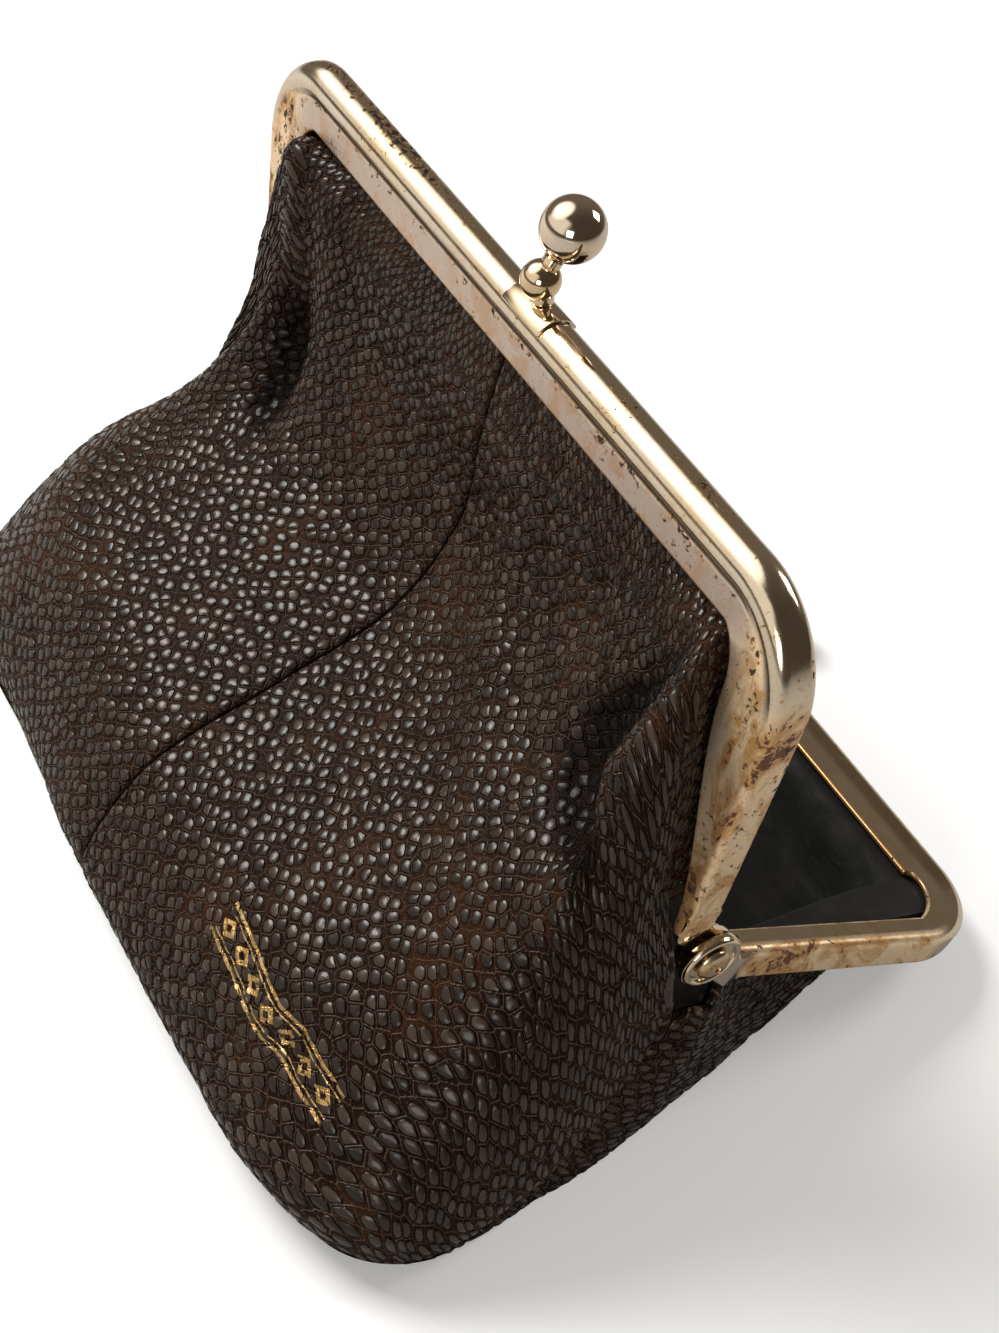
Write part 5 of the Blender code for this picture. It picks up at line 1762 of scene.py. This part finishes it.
@dataclass
class Bag:
    """The leather bag and its lining."""

    layout: Layout
    fineness: float = 0.00021
    spread: float = 0.00016
    foil_place: Shares = (0.0300, -0.0380, -0.0040)

    def surface(self, half: Half, rows: Net, creases: tuple[Crease, ...] = ()) -> PanelSurface:
        """The surface of one quarter of the bag."""
        spread = self.spread if half is Half.FRONT else -self.spread
        fineness = self.fineness if half is Half.FRONT else self.fineness * 1.35
        return PanelSurface(self.layout, half, rows, spread, fineness, creases)

    def foil(self, surface: PanelSurface) -> FoilRule:
        """The gold rule, at its place on a panel's flat map."""
        spot = np.array(self.layout.hinge) + self.foil_place
        away = np.linalg.norm(surface.points - spot, axis=2)
        row, column = np.unravel_index(away.argmin(), away.shape)
        return FoilRule((float(surface.lengths(1)[row, column]),
                         float(surface.lengths(0)[row, column])))

    def build(self) -> None:
        """Make the four panels and the two linings."""
        pattern = ScalePattern()
        plain = ScaleLeather("scale_leather", pattern).make()
        lining = MattLining().make()
        for half in Half:
            if half is Half.FRONT:
                right = self.surface(half, FRONT_RIGHT_ROWS, RIGHT_CREASES)
                left = self.surface(half, FRONT_LEFT_ROWS, LEFT_CREASES)
                ruled = ScaleLeather("ruled_scale_leather", pattern, self.foil(right)).make()
            else:
                right = left = self.surface(half, REAR_ROWS)
                ruled = plain
            LeatherPanel(right, Side.RIGHT, pattern, ruled).build()
            LeatherPanel(left, Side.LEFT, pattern, plain).build()
            Lining(right, left, lining).build()


@dataclass
class Studio:
    """The pale floor, the soft lights, the surroundings and the camera."""

    hinge: Vector
    camera_place: Shares = (0.1144395, -0.0864429, 0.1404110)
    camera_right: Shares = (0.490750191, 0.858814708, 0.146974649)
    camera_down: Shares = (0.672724522, -0.266274393, -0.690318524)
    camera_ahead: Shares = (-0.553720116, 0.437647398, -0.708419923)
    lens: float = 53.173
    key_place: Shares = (-0.33, -0.22, 0.46)
    dim_left: Color = (0.150, 0.122, 0.092)
    dim_right: Color = (0.060, 0.048, 0.036)
    bright_front: Color = (0.85, 0.79, 0.70)
    halo: Color = (1.5, 1.42, 1.3)
    ambient: Color = (0.18, 0.172, 0.160)

    def camera(self) -> None:
        """Set up the camera of the photograph."""
        Bench.clear()
        bpy.ops.object.camera_add()
        camera = bpy.context.object
        camera.name = "view_camera"
        turn = Matrix((self.camera_right, -Vector(self.camera_down),
                       -Vector(self.camera_ahead))).transposed().to_4x4()
        camera.matrix_world = Matrix.Translation(self.hinge + Vector(self.camera_place)) @ turn
        camera.data.lens = self.lens
        camera.data.sensor_width = 36.0
        camera.data.clip_start = 0.005
        bpy.context.scene.camera = camera

    def light(self, name: str, place: Shares, size: float, energy: float, color: Color) -> None:
        """Add a soft square light aimed at the purse."""
        Bench.clear()
        bpy.ops.object.light_add(type="AREA", location=place)
        lamp = bpy.context.object
        lamp.name = name
        lamp.data.size = size
        lamp.data.energy = energy
        lamp.data.color = color
        aim = (Vector((0.0, 0.0, 0.02)) - Vector(place)).normalized()
        lamp.rotation_euler = aim.to_track_quat("-Z", "Y").to_euler()

    def floor(self) -> None:
        """Lay the white floor, which keeps the purse's shadow."""
        Bench.clear()
        bpy.ops.mesh.primitive_plane_add(size=3.0)
        floor = Bench.named("pale_floor")
        made = bpy.data.materials.new("pale_floor")
        made.use_nodes = True
        made.node_tree.nodes.clear()
        w = Wiring(made.node_tree)
        seen = w.add("ShaderNodeLightPath").outputs["Is Camera Ray"]
        plain = w.add("ShaderNodeBsdfDiffuse", {"Color": (0.56, 0.55, 0.53, 1.0)})
        lit = w.add("ShaderNodeBsdfDiffuse", {"Color": (0.90, 0.90, 0.90, 1.0)})
        glow = w.add("ShaderNodeEmission", {"Color": (0.24, 0.24, 0.24, 1.0)})
        shown = w.add("ShaderNodeAddShader", {0: lit.outputs[0], 1: glow.outputs[0]})
        mixed = w.add("ShaderNodeMixShader", {0: seen, 1: plain.outputs[0], 2: shown.outputs[0]})
        w.add("ShaderNodeOutputMaterial", {0: mixed.outputs[0]})
        floor.data.materials.append(made)

    def surroundings(self) -> None:
        """Make the world white to the eye, and a dim room with a bright front in reflections."""
        world = bpy.data.worlds.new("studio")
        bpy.context.scene.world = world
        world.use_nodes = True
        world.node_tree.nodes.clear()
        w = Wiring(world.node_tree)
        rays = w.add("ShaderNodeLightPath")
        way = w.add("ShaderNodeSeparateXYZ",
                    {0: w.add("ShaderNodeTexCoord").outputs["Generated"]})
        aside, ahead, height = way.outputs
        front = w.times(w.ramp(ahead, -0.42, -0.66), w.ramp(height, 0.02, 0.14),
                        w.ramp(height, 0.86, 0.72), w.ramp(aside, 0.62, 0.30))
        toward = w.add("ShaderNodeVectorMath", {
            0: w.add("ShaderNodeTexCoord").outputs["Generated"],
            1: Vector(self.key_place).normalized()}, operation="DOT_PRODUCT").outputs["Value"]
        dim = w.blend(w.ramp(aside, -0.7, 0.6), self.dim_left, self.dim_right)
        mirrored = w.blend(front, dim, self.bright_front)
        mirrored = w.blend(w.ramp(toward, 0.80, 0.93), mirrored, self.halo)
        color = w.blend(rays.outputs["Is Glossy Ray"], self.ambient, mirrored)
        color = w.blend(rays.outputs["Is Camera Ray"], color, (1.0, 1.0, 1.0))
        back = w.add("ShaderNodeBackground", {"Color": color, "Strength": 1.0})
        w.add("ShaderNodeOutputWorld", {0: back.outputs[0]})

    def build(self) -> None:
        """Set the scene."""
        self.camera()
        self.floor()
        self.surroundings()
        self.light("key_light", self.key_place, size=0.26, energy=3.5, color=(1.0, 0.985, 0.96))
        self.light("back_light", (0.05, 0.50, 0.34), size=0.20, energy=0.8,
                   color=(1.0, 0.99, 0.97))
        self.light("fill_light", (0.42, -0.42, 0.22), size=0.22, energy=0.90,
                   color=(1.0, 0.98, 0.95))
        bpy.context.scene.view_settings.view_transform = "Standard"


def main() -> None:
    """Build the purse on its frame."""
    logging.basicConfig(level=logging.INFO, format="%(name)s: %(message)s")
    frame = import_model()
    hinge = Vector(frame["joints"][0]["pos_m"])
    layout = Layout(PurseSizes(), hinge)
    gold = WornGold(tuple(hinge)).make()
    ball = PolishedGold("ball_gold", (0.86, 0.73, 0.60), (0.86, 0.69, 0.50), 0.3, 0.05).make()
    # The post and saddle get a warmer, more yellow copy of the polished gold: painted warm
    # reflection from the balls and the bar
    clasp = PolishedGold("clasp_gold", (0.86, 0.71, 0.52), (0.88, 0.64, 0.34), 0.3, 0.06).make()
    pin = PolishedGold("hinge_gold", (0.68, 0.56, 0.42), (0.70, 0.48, 0.24), 0.8, 0.16).make()
    paper = TwistedPaper().make()
    for half in Half:
        piece = HalfFrame(layout, half, gold)
        piece.build()
        Clasp(layout, half, ball, clasp).build()
        FillerCord(piece, paper).build()
    for side in Side:
        HingePin(layout, side, pin).build()
    Bag(layout).build()
    Studio(hinge).build()


if __name__ == "__main__":
    main()
